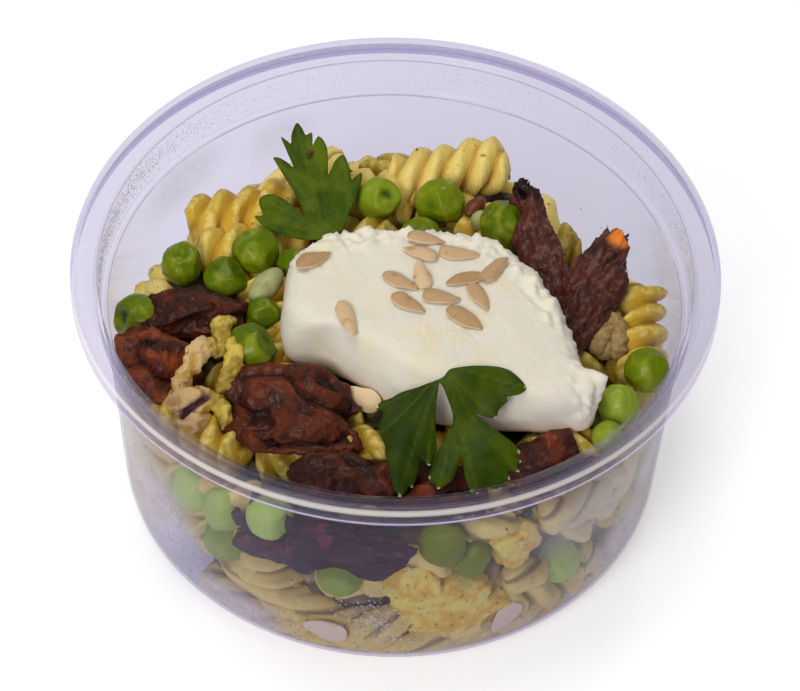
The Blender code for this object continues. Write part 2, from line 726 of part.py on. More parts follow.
def build_crumpled(table, look, neighbours):
    """Soft lumps, each moulded round the pieces that lie against it."""
    made = []
    for name, (centre, size, yaw, dip, bend, seed) in table.items():
        lump = crumple(centre, size, yaw, dip, bend, seed)
        piece = solid(name, press_to_wall(lump), look)
        touching = [other for other in neighbours + made
                    if crosses(piece, [tree_of(other, FOOD_GAP)])]
        if touching:
            cutters = [swollen_copy(other, FOOD_GAP) for other in touching]
            combine(piece, cutters, "DIFFERENCE")
        made.append(piece)
    return made


def sprinkle(cheese):
    """Fuse the kernels to the cheese, each lying on its surface."""
    tree = tree_of(cheese)
    kernels = []
    for x, y, degrees in KERNELS_ON_CHEESE:
        place, facing, _, _ = tree.ray_cast(Vector((x, y, 80.0)) * MM, Vector((0, 0, -1)))
        kernels.append(solid("kernel", kernel(place / MM + facing * 0.35, facing, degrees)))
    fallen = kernel((-5.6, -21.0, 41.6), (-0.45, -0.75, 0.5), -52.0, 8.0, 4.6, 2.6)
    kernels.append(solid("kernel", fallen))
    combine(cheese, kernels, "UNION")


def main():
    """Build every node: the tub, the toppings, and the heap fitted under them."""
    for thing in list(bpy.data.objects):
        bpy.data.objects.remove(thing)
    build_tub()
    cheese = build_cheese()
    sprinkle(cheese)
    leaves = [
        build_leaf("parsley_1", (-13.2, 18.5, 42.9), (-6.5, 23.2, 6.2), UPRIGHT_LEAF, 0.06, 0.5),
        build_leaf("parsley_2", (9.3, -22.3, 52.3), (0.0, -21.0, -8.2), DRAPED_LEAF, -0.03, 0.4),
    ]
    firm = [cheese] + leaves + build_peas()
    tomatoes = build_crumpled(TOMATOES, TOMATO_RED, firm)
    chicken = build_crumpled(CHICKEN_PIECES, CHICKEN, firm + tomatoes)
    toppings = firm + tomatoes + chicken
    heap = build_core()
    seats = [swollen_copy(topping, FOOD_GAP) for topping in toppings
             if crosses(heap, [tree_of(topping, FOOD_GAP)])]
    combine(heap, seats, "DIFFERENCE")
    fused = fuse_pieces(heap, piece_makers(), toppings)
    merge_slivers(heap, HEAP_TRIANGLES)
    print(f"{fused} pieces fused to the heap")


main()
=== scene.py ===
# %% [markdown]
# # A pasta salad in its clear tub
#
# This lesson dresses a finished model of a takeaway salad. The solids, with their true
# sizes and places, are loaded first. Then each kind of food is made as it is in life:
# wound pasta, shrivelled peas, leathery tomato, crumbly cheese and thin leaves, all in a
# thin clear tub with a little condensation.

import math
import random

import bmesh
import bpy
import numpy as np
from mathutils import Matrix, Vector, noise
from mathutils.bvhtree import BVHTree
from mathutils.geometry import delaunay_2d_cdt


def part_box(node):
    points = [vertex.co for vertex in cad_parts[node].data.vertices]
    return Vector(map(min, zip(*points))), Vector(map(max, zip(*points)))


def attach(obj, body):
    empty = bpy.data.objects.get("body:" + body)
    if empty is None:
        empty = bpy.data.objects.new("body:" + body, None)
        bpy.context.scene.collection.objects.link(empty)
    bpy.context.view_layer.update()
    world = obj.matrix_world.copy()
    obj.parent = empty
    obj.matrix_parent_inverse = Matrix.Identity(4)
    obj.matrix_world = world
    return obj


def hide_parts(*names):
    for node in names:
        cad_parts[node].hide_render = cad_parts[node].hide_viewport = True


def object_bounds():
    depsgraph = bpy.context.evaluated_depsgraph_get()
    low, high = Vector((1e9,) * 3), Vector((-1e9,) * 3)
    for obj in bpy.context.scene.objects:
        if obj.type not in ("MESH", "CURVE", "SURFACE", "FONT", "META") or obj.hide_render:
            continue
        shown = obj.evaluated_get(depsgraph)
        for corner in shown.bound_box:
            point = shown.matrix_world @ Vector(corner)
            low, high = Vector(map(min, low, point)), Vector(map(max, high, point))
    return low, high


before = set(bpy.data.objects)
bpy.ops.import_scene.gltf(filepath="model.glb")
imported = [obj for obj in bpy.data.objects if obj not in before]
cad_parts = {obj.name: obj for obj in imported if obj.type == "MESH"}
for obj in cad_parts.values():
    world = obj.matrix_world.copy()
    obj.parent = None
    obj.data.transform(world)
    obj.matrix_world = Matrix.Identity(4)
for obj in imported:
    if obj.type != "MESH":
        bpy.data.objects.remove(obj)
solid_low, solid_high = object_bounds()
MM = 0.001
print("the solids measure", [round(side / MM, 1) for side in solid_high - solid_low], "mm")

# %% [markdown]
# ## Numbers that flow through wires
#
# A shader is a graph of nodes, and sums in it soon fill a page. It could be built node by
# node, but a small class that wraps a socket lets the sums be written as Python: every
# operator adds one Math node. Colours never pass through Math, which would turn them
# grey, so they have their own mixing method.

# %% A wire
class Wire:
    """An output socket that takes part in sums; each operator adds a Math node."""

    def __init__(self, finish, socket):
        self.finish = finish
        self.socket = socket

    def math(self, operation, first, second=0.0):
        return self.finish.node("ShaderNodeMath", {"operation": operation}, {0: first, 1: second})

    def __add__(self, other):
        return self.math("ADD", self, other)

    def __sub__(self, other):
        return self.math("SUBTRACT", self, other)

    def __rsub__(self, other):
        return self.math("SUBTRACT", other, self)

    def __mul__(self, other):
        return self.math("MULTIPLY", self, other)

    def __pow__(self, other):
        return self.math("POWER", self, other)

    def over(self, low, high):
        """0 below low, 1 above high and a smooth step between."""
        settings = {"interpolation_type": "SMOOTHSTEP"}
        inputs = {"Value": self, "From Min": low, "From Max": high}
        return self.finish.node("ShaderNodeMapRange", settings, inputs)

    __radd__ = __add__
    __rmul__ = __mul__


print("a wire takes part in sums, differences, products and powers")

# %% [markdown]
# ## A finish
#
# A material could be put together socket by socket. Here a finish keeps the material and
# has one method that makes any node, and a few short ones for what every food needs: noise
# of a known size, a number stored on the mesh, and coats of colour laid over each other.

# %% A finish
class Finish:
    """A material, with one method that makes any node in it."""

    def __init__(self, name, **sockets):
        self.material = bpy.data.materials.new(name)
        self.material.use_nodes = True
        self.tree = self.material.node_tree
        self.shader = self.tree.nodes["Principled BSDF"]
        for socket, value in sockets.items():
            self.shader.inputs[socket.replace("_", " ")].default_value = value

    def node(self, kind, settings=None, inputs=None, output=0):
        """Make a node: its settings first, then the values or wires of its sockets."""
        made = self.tree.nodes.new(kind)
        for name, value in (settings or {}).items():
            setattr(made, name, value)
        for name, value in (inputs or {}).items():
            self.feed(made.inputs[name], value)
        return Wire(self, made.outputs[output])

    def feed(self, socket, value):
        if isinstance(value, Wire):
            self.tree.links.new(value.socket, socket)
        else:
            socket.default_value = value

    def grain(self, size, detail=3.0, stretch=(1.0, 1.0, 1.0)):
        """Noise from 0 to 1 whose features are about so many millimetres across."""
        place = self.node("ShaderNodeTexCoord", output="Object")
        spread = self.node("ShaderNodeMapping", None, {"Vector": place, "Scale": stretch})
        inputs = {"Vector": spread, "Scale": 1.0 / (size * MM), "Detail": detail}
        return self.node("ShaderNodeTexNoise", None, inputs)

    def number(self, name):
        """A number that the mesh holds for each of its points."""
        return self.node("ShaderNodeAttribute", {"attribute_name": name}, output="Fac")

    def mix(self, share, first, second):
        """A colour between two others."""
        inputs = {0: share, 6: first, 7: second}
        return self.node("ShaderNodeMix", {"data_type": "RGBA"}, inputs, output=2)

    def bump(self, height, depth):
        """Feed the surface's normal from a height, for relief so many millimetres deep."""
        inputs = {"Height": height, "Distance": depth * MM, "Strength": 1.0}
        self.feed(self.shader.inputs["Normal"], self.node("ShaderNodeBump", None, inputs))

    def coats(self, colour, *coats):
        """A colour under coats; each covers its share of what lies below it."""
        for share, coat in coats:
            colour = self.mix(share, colour, coat)
        return colour

    def colour(self, base, *coats):
        self.feed(self.shader.inputs["Base Color"], self.coats(base, *coats))

    def roughness(self, value):
        self.feed(self.shader.inputs["Roughness"], value)


def paint(red, green, blue):
    """A colour as a screen shows it, 0 to 255, turned into the linear one of a shader."""
    shares = [part / 255 for part in (red, green, blue)]
    linear = [s / 12.92 if s <= 0.04045 else ((s + 0.055) / 1.055) ** 2.4 for s in shares]
    return (*linear, 1.0)


print("a mid grey of the screen is", round(paint(128, 128, 128)[0], 3), "in the shader")

# %% [markdown]
# ## Shapes as arrays
#
# Food is many small soft lumps. Each could be its own object with modifiers, but hundreds
# of them are easier to bend and number as arrays of points. A batch collects them and
# becomes one clean mesh for each kind. Every point can carry numbers, such as how deep it
# lies in a groove, which the finishes read.

# %% A batch of shapes
RANDOM = random.Random(77)


class Batch:
    """Many closed shapes of one kind, in millimetres, that become one piece."""

    def __init__(self):
        self.points = []
        self.faces = []
        self.numbers = {}
        self.count = 0

    def add(self, points, faces, **numbers):
        """Add a shape; each number is one value for all its points or one for each."""
        points = np.asarray(points, float)
        self.faces += [tuple(corner + self.count for corner in face) for face in faces]
        for name, value in numbers.items():
            self.numbers.setdefault(name, []).append(np.broadcast_to(value, len(points)))
        self.points.append(points)
        self.count += len(points)

    def make(self, name, finish, slot, *solids):
        """The piece: one mesh that rides on the tub's body and stands for some solids."""
        return place(name, self.mesh(name), finish, slot, *solids)

    def mesh(self, name):
        """One mesh of all the shapes, with its faces outwards and its numbers."""
        mesh = bpy.data.meshes.new(name)
        mesh.from_pydata((np.concatenate(self.points) * MM).tolist(), [], self.faces)
        edit = bmesh.new()
        edit.from_mesh(mesh)
        bmesh.ops.recalc_face_normals(edit, faces=edit.faces)
        edit.to_mesh(mesh)
        edit.free()
        give_numbers(mesh, {name: np.concatenate(parts) for name, parts in self.numbers.items()})
        return mesh


print("a new batch holds", Batch().count, "points")

# %% [markdown]
# ## From arrays to pieces
#
# A piece needs its mesh, its finish, and two facts for the shared frame: the body that
# it rides on and the solids that it shows in place of. Blender has an operator for each
# of the steps on a mesh, but reading all points at once as one array is quicker and says
# more plainly what is done.

# %% Points, numbers and pieces
def give_numbers(mesh, numbers):
    """Store a value for each point of the mesh under each name."""
    for name, values in numbers.items():
        layer = mesh.attributes.new(name, "FLOAT", "POINT")
        layer.data.foreach_set("value", np.asarray(values, np.float32))


def read_points(mesh):
    """The points of a mesh in millimetres, and the way that its surface faces at each."""
    points = np.empty(len(mesh.vertices) * 3)
    facing = np.empty(len(mesh.vertices) * 3)
    mesh.vertices.foreach_get("co", points)
    mesh.vertices.foreach_get("normal", facing)
    return points.reshape(-1, 3) / MM, facing.reshape(-1, 3)


def write_points(mesh, points):
    """Move the points of a mesh to places in millimetres."""
    mesh.vertices.foreach_set("co", (points * MM).ravel())
    mesh.update()


def place(name, mesh, finish, slot, *solids):
    """An object for the mesh, smooth, with its finish, body and the solids it shows; the slot is not used."""
    mesh.shade_smooth()
    mesh.materials.clear()
    mesh.materials.append(finish.material)
    made = bpy.data.objects.new(name, mesh)
    bpy.context.collection.objects.link(made)
    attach(made, "root")
    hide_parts(*solids)
    corners = sum(face.loop_total - 2 for face in mesh.polygons)
    print(f"{name}: {corners} triangles")
    return made


print("pieces are placed in metres from points in millimetres, at", MM)

# %% Faces over rings
def skin(rings):
    """Faces over rings of equal length, with a point at the middle of each end."""
    rings = np.asarray(rings, float)
    rows, sides, _ = rings.shape
    points = np.concatenate([rings.reshape(-1, 3), [rings[0].mean(0)], [rings[-1].mean(0)]])
    first_end = rows * sides
    faces = []
    for row in range(rows - 1):
        for side in range(sides):
            across = (side + 1) % sides
            near, far = row * sides, (row + 1) * sides
            faces.append((near + side, near + across, far + across, far + side))
    last = (rows - 1) * sides
    for side in range(sides):
        across = (side + 1) % sides
        faces.append((first_end, across, side))
        faces.append((first_end + 1, last + side, last + across))
    return points, faces


print("a test skin has", len(skin(np.zeros((3, 8, 3)))[1]), "faces")

# %% [markdown]
# ## Uneven food
#
# No two crumbs are alike. Blender's noise gives the same value for the same place on each
# run, so it shapes everything here: broad hills, layered relief, and sharp folds where
# the noise passes through zero. A smooth step joins one region to the next.

# %% Steps and noise
def ease(low, high, value):
    """0 below low, 1 above high, and a smooth step between, for numbers and arrays."""
    t = np.clip((value - low) / (high - low), 0.0, 1.0)
    return t * t * (3 - 2 * t)


def relief(points, size, seed=0.0, layers=2):
    """Layered noise about 0, mostly from -0.6 to 0.6, with features of so many millimetres."""
    offset = Vector((seed, 1.7 * seed, -0.6 * seed))
    return np.array([noise.turbulence(Vector(p) / size + offset, layers, False) for p in points])


def hills(points, size, seed=0.0):
    """Plain noise from -1 to 1 at each point."""
    offset = Vector((seed, 1.7 * seed, -0.6 * seed))
    return np.array([noise.noise(Vector(p) / size + offset) for p in points])


def ridged(points, size, seed):
    """Sharp folds: 1 along thin lines and falling to 0 between them."""
    return 1.0 - np.minimum(1.0, np.abs(hills(points, size, seed)) * 3.2)


print("half way up a step the value is", float(ease(0.0, 2.0, 1.0)))

# %% [markdown]
# ## The camera
#
# The salad is seen from above at about 48 degrees, a little rolled, with a long lens. The
# camera could be aimed by a constraint, but its matrix says the same in three directions.

# %% Camera
LOOK_AT = Vector((1.2087, 0.0, 32.581)) * MM
DISTANCE = 669.314 * MM
ELEVATION = 0.8384
ROLL = 0.0318
LENS = 162.0


def stand_camera():
    """A camera that looks at the salad from in front and above, a little rolled."""
    ahead = Vector((0.0, math.cos(ELEVATION), -math.sin(ELEVATION)))
    right = Vector((1.0, 0.0, 0.0))
    up = right.cross(ahead)
    rolled_right = right * math.cos(ROLL) + up * math.sin(ROLL)
    rolled_up = up * math.cos(ROLL) - right * math.sin(ROLL)
    turn = Matrix((rolled_right, rolled_up, -ahead)).transposed().to_4x4()
    data = bpy.data.cameras.new("camera")
    data.lens = LENS
    data.sensor_width = 36.0
    camera = bpy.data.objects.new("camera", data)
    camera.matrix_world = Matrix.Translation(LOOK_AT - ahead * DISTANCE) @ turn
    bpy.context.collection.objects.link(camera)
    bpy.context.scene.camera = camera


stand_camera()
print("the camera looks down at", round(math.degrees(ELEVATION)), "degrees")

# %% [markdown]
# ## The light
#
# The light is soft and pale. Lamps overhead and in front at the left light the food, one
# behind draws bright lines along the rim, and a weak one low in front reaches what shows
# through the wall. One lamp would leave the wall dark, and a world alone gives no glints.

# %% Lamps and world
def hang_lamp(name, spot, size, power, tint):
    """A square soft lamp, in metres and watts, turned towards the salad."""
    data = bpy.data.lights.new(name, "AREA")
    data.size = size
    data.energy = power
    data.color = tint
    lamp = bpy.data.objects.new(name, data)
    lamp.location = spot
    lamp.rotation_euler = (LOOK_AT - Vector(spot)).to_track_quat("-Z", "Y").to_euler()
    bpy.context.collection.objects.link(lamp)


hang_lamp("lamp_above", (-0.12, 0.10, 0.75), 0.36, 2.0, (1.0, 0.985, 0.96))
hang_lamp("lamp_behind", (0.20, 0.74, 0.40), 0.20, 0.8, (0.95, 0.96, 1.0))
hang_lamp("lamp_front", (-0.34, -0.70, 0.62), 0.40, 4.4, (1.0, 0.99, 0.97))
hang_lamp("lamp_low", (0.10, -0.80, 0.14), 0.40, 0.5, (1.0, 0.99, 0.98))

world = bpy.data.worlds.new("pale_room")
world.use_nodes = True
world.node_tree.nodes["Background"].inputs["Color"].default_value = (0.97, 0.97, 1.0, 1.0)
world.node_tree.nodes["Background"].inputs["Strength"].default_value = 0.30
bpy.context.scene.world = world
bpy.context.scene.view_settings.view_transform = "Standard"
bpy.context.scene.cycles.transparent_max_bounces = 24

print(len(bpy.data.lights), "lamps hang in a pale world")

# %% [markdown]
# ## The floor
#
# The salad was cut out on white. A wide pale sheet that glows a little stays nearly white
# and still takes a faint shadow, which says that the tub stands on something.

# %% Floor
FLOOR_HALF = 2.5
FLOOR_DROP = 0.0002
floor_finish = Finish("pale_floor", Roughness=0.9, Emission_Color=(1.0, 1.0, 1.0, 1.0),
                      Emission_Strength=0.36)
floor_finish.colour((0.86, 0.86, 0.87, 1.0), (floor_finish.grain(60.0), (0.88, 0.88, 0.89, 1.0)))
floor_mesh = bpy.data.meshes.new("floor")
floor_mesh.from_pydata([(x * FLOOR_HALF, y * FLOOR_HALF, -FLOOR_DROP)
                        for x, y in ((-1, -1), (1, -1), (1, 1), (-1, 1))], [], [(0, 1, 2, 3)])
floor_mesh.materials.append(floor_finish.material)
floor = bpy.data.objects.new("floor", floor_mesh)
bpy.context.collection.objects.link(floor)
print("the floor is", 2 * FLOOR_HALF, "m wide")

# %% [markdown]
# ## The tub
#
# The tub is thin moulded plastic: a flat base, a wall that leans out a little, a ledge, a
# short neck and a rim that turns over. It could be a glass shader, but this plastic is
# faintly cloudy, so what lies behind it looks pale and lilac. A share of the surface is
# therefore a dull lilac haze, the rest lets light straight through with a tint, and a
# gloss lies over both. The sharp edges of the moulding catch the light or look dark, so
# the mesh numbers its edges and the finish paints them as painted highlight, painted
# lilac glow and painted shade.

# %% The tub's turned shape
TUB_HEIGHT = solid_high.z / MM
RIM_RADIUS = solid_high.x / MM
WALL = 0.7
RIM_CREST = 56.5
RIM_DROP = 4.2
NECK_TOP = (54.1, TUB_HEIGHT - 2.1)
NECK_FOOT = (53.6, TUB_HEIGHT - 9.0)
LEDGE = (52.4, TUB_HEIGHT - 9.6)
BASE_RADIUS = 50.0
BASE_CORNER = 5.7
TUB_SIDES = 168
EDGES = ("white", "lilac", "shadowed", "clear")
print("the tub is", round(2 * RIM_RADIUS, 1), "mm wide and", round(TUB_HEIGHT, 1), "mm high")

# %% Rounded corners and the inside

def rounded(corners):
    """A section with its corners turned into arcs, and each point's edge numbers."""
    profile = []
    for i, (r, z, bend, *edges) in enumerate(corners):
        here = Vector((r, z))
        edges = np.array(edges)
        if bend == 0.0:
            profile.append((here, edges))
            continue
        before = Vector(corners[i - 1][:2]) - here
        after = Vector(corners[(i + 1) % len(corners)][:2]) - here
        start = here + before.normalized() * min(bend, 0.45 * before.length)
        end = here + after.normalized() * min(bend, 0.45 * after.length)
        for t in (0.0, 0.25, 0.5, 0.75, 1.0):
            point = start.lerp(here, t).lerp(here.lerp(end, t), t)
            fade = np.append(np.full(3, 1.0 - abs(2.0 * t - 1.0)), 1.0)
            profile.append((point, edges * fade))
    return profile


def inner_reach(height):
    """How far the tub's inside reaches at heights in millimetres, below its ledge."""
    slope = (LEDGE[0] - BASE_RADIUS) / LEDGE[1]
    reach = BASE_RADIUS + slope * np.minimum(height, LEDGE[1])
    corner = BASE_CORNER - WALL
    below = np.maximum(BASE_CORNER - height, 0.0)
    return reach - corner + np.sqrt(np.maximum(corner ** 2 - below ** 2, 0.0))


print("half way up, the inside reaches", round(float(inner_reach(TUB_HEIGHT / 2)), 1), "mm")

# %% [markdown]
# ## The tub's section
#
# One closed line, turned round the middle, is the whole tub. A Screw modifier could turn
# it, but then the edges couldn't carry numbers. The line runs up the outside, over the
# rim and down the inside, and each corner says how much light it catches.

# %% The tub's section
# Each corner: reach, height, how much it is rounded, then how much painted highlight, painted lilac glow and painted
# shade it has, and how clear it is
outer_wall = BASE_RADIUS + WALL
TUB_CORNERS = []
for degrees in (0.0, 22.5, 45.0, 67.5, 90.0):
    a = math.radians(degrees)
    TUB_CORNERS.append((outer_wall - BASE_CORNER * (1 - math.sin(a)), BASE_CORNER * (1 - math.cos(a)),
                        0.0, 0.0, 0.25 * math.sin(2 * a), 0.0, 0.0))
TUB_CORNERS += [
    (LEDGE[0] + WALL, LEDGE[1] - WALL, 0.5, 0.1, 0.0, 0.1, 0.0),
    (NECK_FOOT[0] + WALL, NECK_FOOT[1] - WALL, 0.4, 0.0, 0.0, 0.0, 0.0),
    (NECK_TOP[0] + WALL, NECK_TOP[1] - WALL, 0.5, 0.0, 0.0, 0.1, 0.3),
    (RIM_CREST, TUB_HEIGHT - WALL, 0.5, 0.0, 0.0, 0.0, 0.8),
    (RIM_RADIUS - WALL - 0.4, TUB_HEIGHT - WALL - 0.3, 0.4, 0.0, 0.0, 0.0, 1.0),
    (RIM_RADIUS - WALL, TUB_HEIGHT - RIM_DROP, 0.1, 0.0, 0.0, 0.0, 1.0),
    (RIM_RADIUS, TUB_HEIGHT - RIM_DROP, 0.28, 0.0, 1.0, 0.0, 1.0),
    (RIM_RADIUS, TUB_HEIGHT - RIM_DROP + 0.5, 0.0, 0.0, 0.7, 0.0, 1.0),
    (RIM_RADIUS, TUB_HEIGHT - RIM_DROP + 0.8, 0.0, 0.0, 0.0, 0.2, 1.0),
    (RIM_RADIUS, TUB_HEIGHT - 1.9, 0.0, 0.0, 0.0, 0.0, 1.0),
    (RIM_RADIUS, TUB_HEIGHT - 1.5, 0.0, 0.55, 0.0, 0.0, 1.0),
    (RIM_RADIUS - 0.05, TUB_HEIGHT - 0.9, 0.0, 0.75, 0.0, 0.0, 1.0),
    (RIM_RADIUS - 0.2, TUB_HEIGHT - 0.45, 0.0, 0.5, 0.0, 0.0, 1.0),
    (RIM_RADIUS - 0.55, TUB_HEIGHT - 0.1, 0.3, 0.2, 0.0, 0.0, 0.8),
    (RIM_RADIUS - 1.1, TUB_HEIGHT, 0.2, 0.05, 0.0, 0.1, 0.8),
    (RIM_CREST, TUB_HEIGHT, 0.6, 0.09, 0.0, 0.0, 0.8),
    (NECK_TOP[0] + 0.5, NECK_TOP[1] + 0.45, 0.2, 0.1, 0.0, 0.0, 0.5),
    (NECK_TOP[0], NECK_TOP[1], 0.3, 0.0, 0.0, 1.0, 0.0),
    (NECK_FOOT[0], NECK_FOOT[1], 0.3, 0.3, 0.0, 0.0, 0.0),
    (LEDGE[0], LEDGE[1], 0.35, 0.0, 0.0, 1.0, 0.0),
]
for height in np.arange(LEDGE[1] - 2.5, BASE_CORNER + 1.0, -2.5):
    TUB_CORNERS.append((float(inner_reach(height)), float(height), 0.0, 0.0, 0.0, 0.0, 0.0))
for degrees in (90.0, 75.0, 60.0, 45.0, 30.0, 15.0):
    height = BASE_CORNER - (BASE_CORNER - WALL) * math.cos(math.radians(degrees))
    TUB_CORNERS.append((float(inner_reach(height)), height, 0.0, 0.0, 0.0, 0.0, 0.0))
TUB_CORNERS.append((BASE_RADIUS - BASE_CORNER, WALL, 0.0, 0.0, 0.0, 0.0, 0.0))
tub_profile = rounded(TUB_CORNERS)
turns = np.linspace(0.0, 2 * math.pi, TUB_SIDES, endpoint=False)
tub_rings = np.array([np.column_stack((p.x * np.cos(turns), p.x * np.sin(turns),
                                       np.full(TUB_SIDES, p.y))) for p, _ in tub_profile])
print(len(tub_profile), "points run round the tub's section")

# %% [markdown]
# ## Fog
#
# Warm food in a shut tub fogs its wall. A texture could be painted for it, but a few oval
# patches, each with a soft border, can be written down and are stored on the inner skin.

# %% Fog on the wall
# Each patch: angle, height, half its width and height, and how thick it is
FOG_SPOTS = [
    (-146.0, 18.0, 13.0, 14.0, 0.56), (-124.0, 7.0, 13.0, 6.0, 0.56), (-160.0, 30.0, 12.0, 12.0, 0.34),
    (-30.0, 11.0, 12.0, 9.0, 0.5), (-16.0, 26.0, 10.0, 13.0, 0.44), (-45.0, 30.0, 15.0, 9.0, 0.26),
    (-21.0, 23.0, 7.0, 7.0, 0.62), (-66.0, 6.0, 16.0, 5.0, 0.2), (142.0, 42.0, 12.0, 7.0, 0.22),
    (116.0, 40.0, 8.0, 6.0, 0.2), (16.0, 42.0, 7.0, 6.0, 0.2), (70.0, 20.0, 16.0, 10.0, 0.25),
]


def fog_at(points):
    """How thick the fog is at points of the tub; only its inner skin is fogged."""
    reach, angle = np.hypot(points[:, 0], points[:, 1]), np.degrees(np.arctan2(points[:, 1], points[:, 0]))
    fog = np.zeros(len(points))
    for degrees, height, across, upright, thick in FOG_SPOTS:
        away = np.radians((angle - degrees + 180.0) % 360.0 - 180.0) * outer_wall
        off = np.hypot(away / across, (points[:, 2] - height) / upright)
        fog = np.maximum(fog, thick * (1.0 - ease(0.3, 1.25, off)))
    return fog * (reach < inner_reach(points[:, 2]) + 0.5 * WALL)


print(len(FOG_SPOTS), "patches of fog")

# %% [markdown]
# ## Cloudy plastic
#
# Three looks are mixed: plain see-through with a tint, the dull haze of the plastic with its
# painted lines of highlight, glow and shade and the fog, and on top a gloss that grows where
# the wall turns away. The corners that catch the light are more solid than the flat wall
# between them.

# %% The tub's cloudy plastic
clear_plastic = Finish("cloudy_plastic", Roughness=0.12, Emission_Strength=1.0)
highlight_edge, glow_edge, shadow_edge, clear = (clear_plastic.number(name) for name in EDGES)
fog = clear_plastic.number("fog")
# Painted highlight (the white edge) and painted shade (the dark edge) as lines on the rim, neck and ledge
clear_plastic.colour((0.72, 0.6, 0.82, 1.0), (highlight_edge.over(0.0, 0.6), (0.90, 0.85, 0.79, 1.0)),
                     (shadow_edge, paint(84, 74, 100)), (fog.over(0.0, 0.1), paint(220, 213, 224)))
# Painted light: the lilac edge glows as a bright line, though it is no lamp
clear_plastic.feed(clear_plastic.shader.inputs["Emission Color"],
                   clear_plastic.mix(glow_edge, (0.0, 0.0, 0.0, 1.0), (0.5, 0.48, 0.86, 1.0)))
clear_plastic.roughness(0.10 + 0.10 * clear_plastic.grain(9.0))
haze = (0.004 + 0.010 * clear_plastic.grain(16.0)) * (1.0 - 0.7 * clear)
haze = haze + 0.8 * highlight_edge + 0.8 * glow_edge
haze = haze + 0.45 * shadow_edge + fog * (0.55 + 0.9 * clear_plastic.grain(1.3, 4.0))
facing = clear_plastic.node("ShaderNodeLayerWeight", None, {"Blend": 0.5}, output=1)
mirror = 0.006 + 0.5 * facing ** 4.5

wall_tint = clear_plastic.node("ShaderNodeBsdfTransparent", None, {"Color": (0.804, 0.794, 0.868, 1.0)})
rim_tint = clear_plastic.node("ShaderNodeBsdfTransparent", None, {"Color": (0.80, 0.785, 0.858, 1.0)})
gloss = clear_plastic.node("ShaderNodeBsdfGlossy", None, {"Roughness": 0.06})
dull = Wire(clear_plastic, clear_plastic.shader.outputs[0])
look = clear_plastic.node("ShaderNodeMixShader", None, {0: clear, 1: wall_tint, 2: rim_tint})
for share, layer in ((haze, dull), (mirror, gloss)):
    look = clear_plastic.node("ShaderNodeMixShader", None, {0: share, 1: look, 2: layer})
clear_plastic.feed(clear_plastic.tree.nodes["Material Output"].inputs["Surface"], look)
print(len(clear_plastic.tree.nodes), "nodes make the plastic")

# %% The tub
tub = Batch()
tub_points, tub_faces = skin(tub_rings)
edge_numbers = np.repeat([edges for _, edges in tub_profile], TUB_SIDES, axis=0)
edge_numbers = np.concatenate([edge_numbers, np.zeros((2, 4))])
# The painted highlight on the outer rim stays only on its front half
in_front = 1.0 - ease(-0.45, 0.25, tub_points[:, 1] / RIM_RADIUS)
edge_numbers[:, 0] *= np.where(tub_points[:, 0] ** 2 + tub_points[:, 1] ** 2 > 58.0 ** 2, in_front, 1.0)
tub.add(tub_points, tub_faces, fog=fog_at(tub_points), **dict(zip(EDGES, edge_numbers.T)))
tub.make("moulded_tub", clear_plastic, "clear_plastic", "tub")

# %% [markdown]
# ## The heap's form
#
# The heap under the toppings is one solid in the model. Here it becomes real pieces over a
# dark core. Its top could be read from the solid, but a short function gives it at any
# place: nearly level, higher under the cheese and sunk at the right rear wall.

# %% The heap's top
CORE_TOP = 37.0
CORE_RADIUS = 45.5
MOUND_CENTRE = (7.0, -8.0)
MOUND_HEIGHT = 2.2
# At the right rear wall the food has slumped: where, how wide and how deep
SLUMP_CENTRE = (37.0, 33.0)
SLUMP_REACH = (3.0, 15.0)
SLUMP_DEPTH = 12.0
DRAW = random.Random(296)


def slump(x, y):
    """How far the food has sunk at the right rear wall."""
    off = np.hypot(x - SLUMP_CENTRE[0], y - SLUMP_CENTRE[1])
    return SLUMP_DEPTH * (1.0 - ease(*SLUMP_REACH, off))


def core_top(x, y):
    """The height of the core's top: nearly level, with a mound under the cheese."""
    from_mound = np.hypot(x - MOUND_CENTRE[0], y - MOUND_CENTRE[1])
    mound = MOUND_HEIGHT * (1 - ease(14.0, 27.0, from_mound))
    return CORE_TOP + mound - 2.0 * ease(38.0, CORE_RADIUS, np.hypot(x, y)) - slump(x, y)


print("the heap's top is", float(core_top(0.0, 0.0)), "mm up in the middle")

# %% [markdown]
# ## Food at the wall
#
# Through the front wall one can tell each pea, kernel and piece of chicken. They have the
# places that they have in the model. Scattering them at random would be shorter, but the
# wall is the face that everybody sees.

# %% Places at the wall
# How far each food stays from the wall, so that pressed faces never share one surface
GAPS = {"kernel": 0.05, "pea": 0.09, "tomato": 0.13, "chicken": 0.17, "pasta": 0.22, "core": 0.5}
# Food that shows through the wall: its angle and height, then for chicken its size across,
# inwards and up, and for kernels their tilt
WALL_TOUCH = 51.0
WALL_PEAS = [
    (-138.0, 27.5), (-128.0, 29.0), (-116.0, 34.0), (-100.0, 23.0), (-72.0, 27.5), (-48.0, 14.0),
    (-21.0, 22.0), (-128.0, 20.0), (24.0, 26.0), (47.0, 13.0), (-78.0, 32.5), (103.0, 28.0),
    (131.0, 12.6), (152.0, 26.0), (176.0, 20.4),
]
WALL_CHICKEN = [
    (-78.0, 16.5, (17.0, 7.0, 14.0)), (-62.5, 28.5, (9.0, 6.0, 9.0)),
    (62.0, 20.0, (15.0, 7.0, 12.0)), (168.0, 27.0, (12.0, 6.0, 9.0)),
    (-84.5, 22.0, (10.0, 5.0, 9.0)), (-71.0, 11.0, (14.0, 6.0, 12.0)),
]
WALL_KERNELS = [(-102.5, 9.0, -50.0), (-64.0, 9.5, 11.0), (18.0, 14.0, 60.0), (120.0, 22.0, 20.0)]
